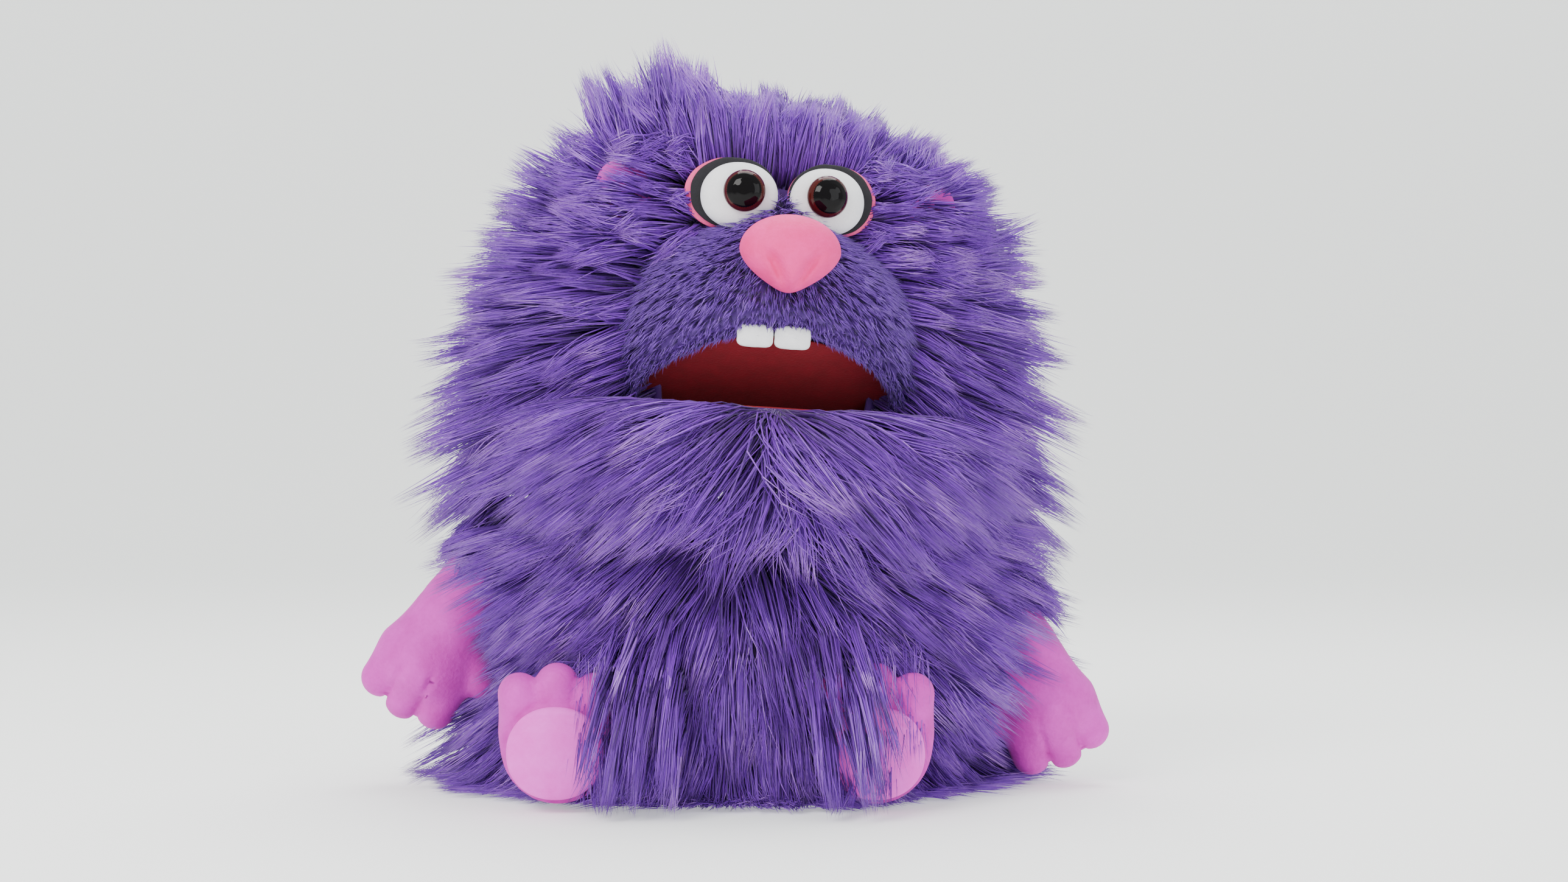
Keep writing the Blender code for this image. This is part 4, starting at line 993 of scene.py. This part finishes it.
def stuffed_skin(distance, low, high, voxel=0.0016):
    """A closed skin where distance is zero: a voxel remesh of a block of cells inside it, then every
    point moved along the gradient onto the surface, in four Newton steps."""
    axes = [np.arange(a, b, voxel * 2.2) for a, b in zip(low, high)]
    cells = np.stack(np.meshgrid(*axes, indexing="ij"), -1).reshape(-1, 3)
    cells = cells[distance(cells) < -voxel * 0.5]
    corner = np.array([(x, y, z) for x in (-1, 1) for y in (-1, 1) for z in (-1, 1)]) * voxel * 1.25
    cube = np.array([(0, 1, 3, 2), (4, 6, 7, 5), (0, 4, 5, 1), (2, 3, 7, 6), (0, 2, 6, 4), (1, 5, 7, 3)])
    rough = new_mesh("rough", (cells[:, None] + corner).reshape(-1, 3),
                     (cube[None] + np.arange(len(cells))[:, None, None] * 8).reshape(-1, 4))
    remesh = rough.modifiers.new("one_skin", "REMESH")
    remesh.mode, remesh.voxel_size = "VOXEL", voxel
    bpy.context.view_layer.update()
    mesh = bpy.data.meshes.new_from_object(rough.evaluated_get(bpy.context.evaluated_depsgraph_get()))
    bpy.data.objects.remove(rough)
    points = np.empty(len(mesh.vertices) * 3, np.float32)
    mesh.vertices.foreach_get("co", points)
    points = points.reshape(-1, 3).astype(float)
    mesh.calc_loop_triangles()
    triangles = np.empty(len(mesh.loop_triangles) * 3, np.int32)
    mesh.loop_triangles.foreach_get("vertices", triangles)
    small = 1e-5
    for _ in range(4):
        here = distance(points)
        slope = np.stack([distance(points + small * np.eye(3)[k]) - here for k in range(3)], 1) / small
        size = (slope ** 2).sum(1).clip(0.2)
        points -= (np.clip(here, -0.002, 0.002) / size)[:, None] * slope
    return points, triangles.reshape(-1, 3)


def limb_frame(side):
    """The shoulder, the elbow and the axes of an arm; z points from the elbow up to the shoulder."""
    shoulder, elbow = joint_place(side + "_arm_raise"), joint_place(side + "_elbow_bend")
    up = unit(shoulder - elbow)
    return shoulder, elbow, np.stack([np.cross([0, 1, 0], up), [0, 1, 0], up])


for side, sign in SIDES:
    shoulder, elbow, axes = limb_frame(side)

    def arm_distance(p, sign=sign):
        """Distance to the arm and hand, in the elbow's frame."""
        flat = p * [1, 1 / 0.86, 1]
        arm = rounded((0, 0, 0.024), (0, 0, -0.016), 0.0140, 0.0160, p)
        palm = rounded((0, 0, -0.014), (sign * 0.001, 0, -0.0380), 0.0165, 0.0215, flat)
        fingers = [rounded((k * 0.0125, 0, -0.042), (k * 0.0142, 0.0, -0.0595 + 0.0030 * abs(k)),
                           0.0092, 0.0086, p) for k in (-1, 0, 1)]
        thumb = rounded((-sign * 0.010, 0, -0.024), (-sign * 0.0252, -0.001, -0.0355), 0.0075, 0.0072, p)
        hand = soft_union([arm, palm, soft_union(fingers, 0.0006), thumb], 0.0022)
        line = 0.0062 + 0.07 * np.clip(-0.042 - p[:, 2], -0.01, 0.03)
        groove = sum(np.exp(-((p[:, 0] - k * line) / 0.0011) ** 2) for k in (-1, 1))
        return hand + 0.0013 * (groove * np.clip((-0.038 - p[:, 2]) / 0.006, 0, 1))

    form = stuffed_skin(arm_distance, (-0.036, -0.022, -0.072), (0.036, 0.022, 0.040))
    hand = soft_piece(side + "_arm_and_hand", form, plush_pink, None, [side + "_hand"],
                      lambda points, axes=axes, elbow=elbow: points @ axes + elbow)
    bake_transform(hand)

    random = np.random.default_rng(51 + (sign > 0))
    count, lock_count = 1700, 80
    around, down = random.uniform(-np.pi, np.pi, count), random.uniform(-0.6, 1.0, count)
    size = np.where(down < 0, np.cos(down * 1.4), 1.0)
    local = joined(0.0132 * size * np.cos(around), 0.0132 * size * np.sin(around),
                   np.where(down < 0, -0.0135 * np.sin(down * 1.4), -0.015 * down))
    out = unit(local * [1, 1, 0] + [0, 0, 1] * np.clip(-down, 0, 1)[:, None])
    comb = unit(joined(sign * 0.75, random.normal(size=count) * 0.30, -0.70))
    length = random.uniform(0.014, 0.024, count) * (1.0 if sign < 0 else 1.35)
    start = unit(out @ axes * 0.30 + comb * 0.9)
    path = hair_paths(local @ axes + shoulder, start, comb, length, 0.20, clear_of_body)
    hair = pile(path, local @ axes + shoulder, lock_count, random, (0.00042, 0.00066))
    turn, fall = np.linspace(-np.pi, np.pi, 41)[None, :], np.linspace(-1.1, 1.0, 16)[:, None]
    wide = np.where(fall < 0, np.cos(fall * 1.4), 1.0) * 0.0134
    lengthwise = np.where(fall < 0, -0.0136 * np.sin(fall * 1.4), -0.015 * fall)
    sleeve_grid = joined(wide * np.cos(turn), wide * np.sin(turn), lengthwise)
    sleeve_out = unit(sleeve_grid * [1, 1, 0] + [0, 0, 1e-5] + [0, 0, 0.01] * np.clip(-fall, 0, 1)[..., None])
    cloth = shell(sleeve_grid @ axes + shoulder, 0.0009, sleeve_out @ axes)
    fur_piece(side + "_arm_fur", cloth, hair, long_pile, side + "_arm", side + "_upper_arm")

# --- Legs and feet: short stuffed legs with three toes and a smooth sole --------------------------
# Each leg is one velour skin that ends in an upright foot, with the sole as a lighter pad sewn on its
# front and three toes above it. The legs swing at the hips.

sole_velour = textured("sole_velour", (0.78, 0.050, 0.560), (0.90, 0.110, 0.720), 500.0, 0.8, 0.35,
                       Sheen_Weight=0.08, Sheen_Roughness=0.35, Sheen_Tint=(1.0, 0.85, 1.0, 1.0))
for side, sign in SIDES:
    hip = joint_place(side + "_leg_swing")

    def foot_distance(p):
        """Distance to the leg and foot, in the hip's frame."""
        leg = rounded((0, 0.0, 0.0), (0, -0.024, 0.002), 0.0110, 0.0125, p)
        scaled = (p - [0, -0.0345, 0.0070]) / [0.0235, 0.0118, 0.0245]
        body = (np.linalg.norm(scaled, axis=1) - 1) * 0.0118
        toes = [rounded((k * 0.0140, -0.0350, 0.0150), (k * 0.0158, -0.0362, 0.0322 - 0.0040 * abs(k)),
                        0.0086, 0.0084, p) for k in (-1, 0, 1)]
        skin = soft_union([leg, body, soft_union(toes, 0.0006)], 0.0018)
        edge = np.hypot(p[:, 0] / 0.0205, (p[:, 2] - 0.0050) / 0.0200)
        return skin + 0.0010 * np.exp(-((edge - 1) / 0.07) ** 2) * (p[:, 1] < -0.036)

    form = stuffed_skin(foot_distance, (-0.030, -0.052, -0.024), (0.030, 0.014, 0.044))
    soft_piece(side + "_leg_and_foot", form, plush_pink, side + "_leg",
               [side + "_leg", side + "_foot"], lambda points, hip=hip: points + hip)
    pad = dome_pad((0.0, 0.0045), 0.0200, 0.0190, -0.0425, -0.0505, 0.0048, power=2.15, rings=18)
    points = pad[0]
    fold = np.exp(-((points[:, 2] - 0.0190 + 12.0 * points[:, 0] ** 2) / 0.0016) ** 2)
    points[:, 1] += np.where(points[:, 1] < -0.0445, 0.0014 * fold, 0)
    soft_piece(side + "_sole_pad", pad, sole_velour, side + "_leg", [side + "_sole"],
               lambda points, hip=hip: points + hip)
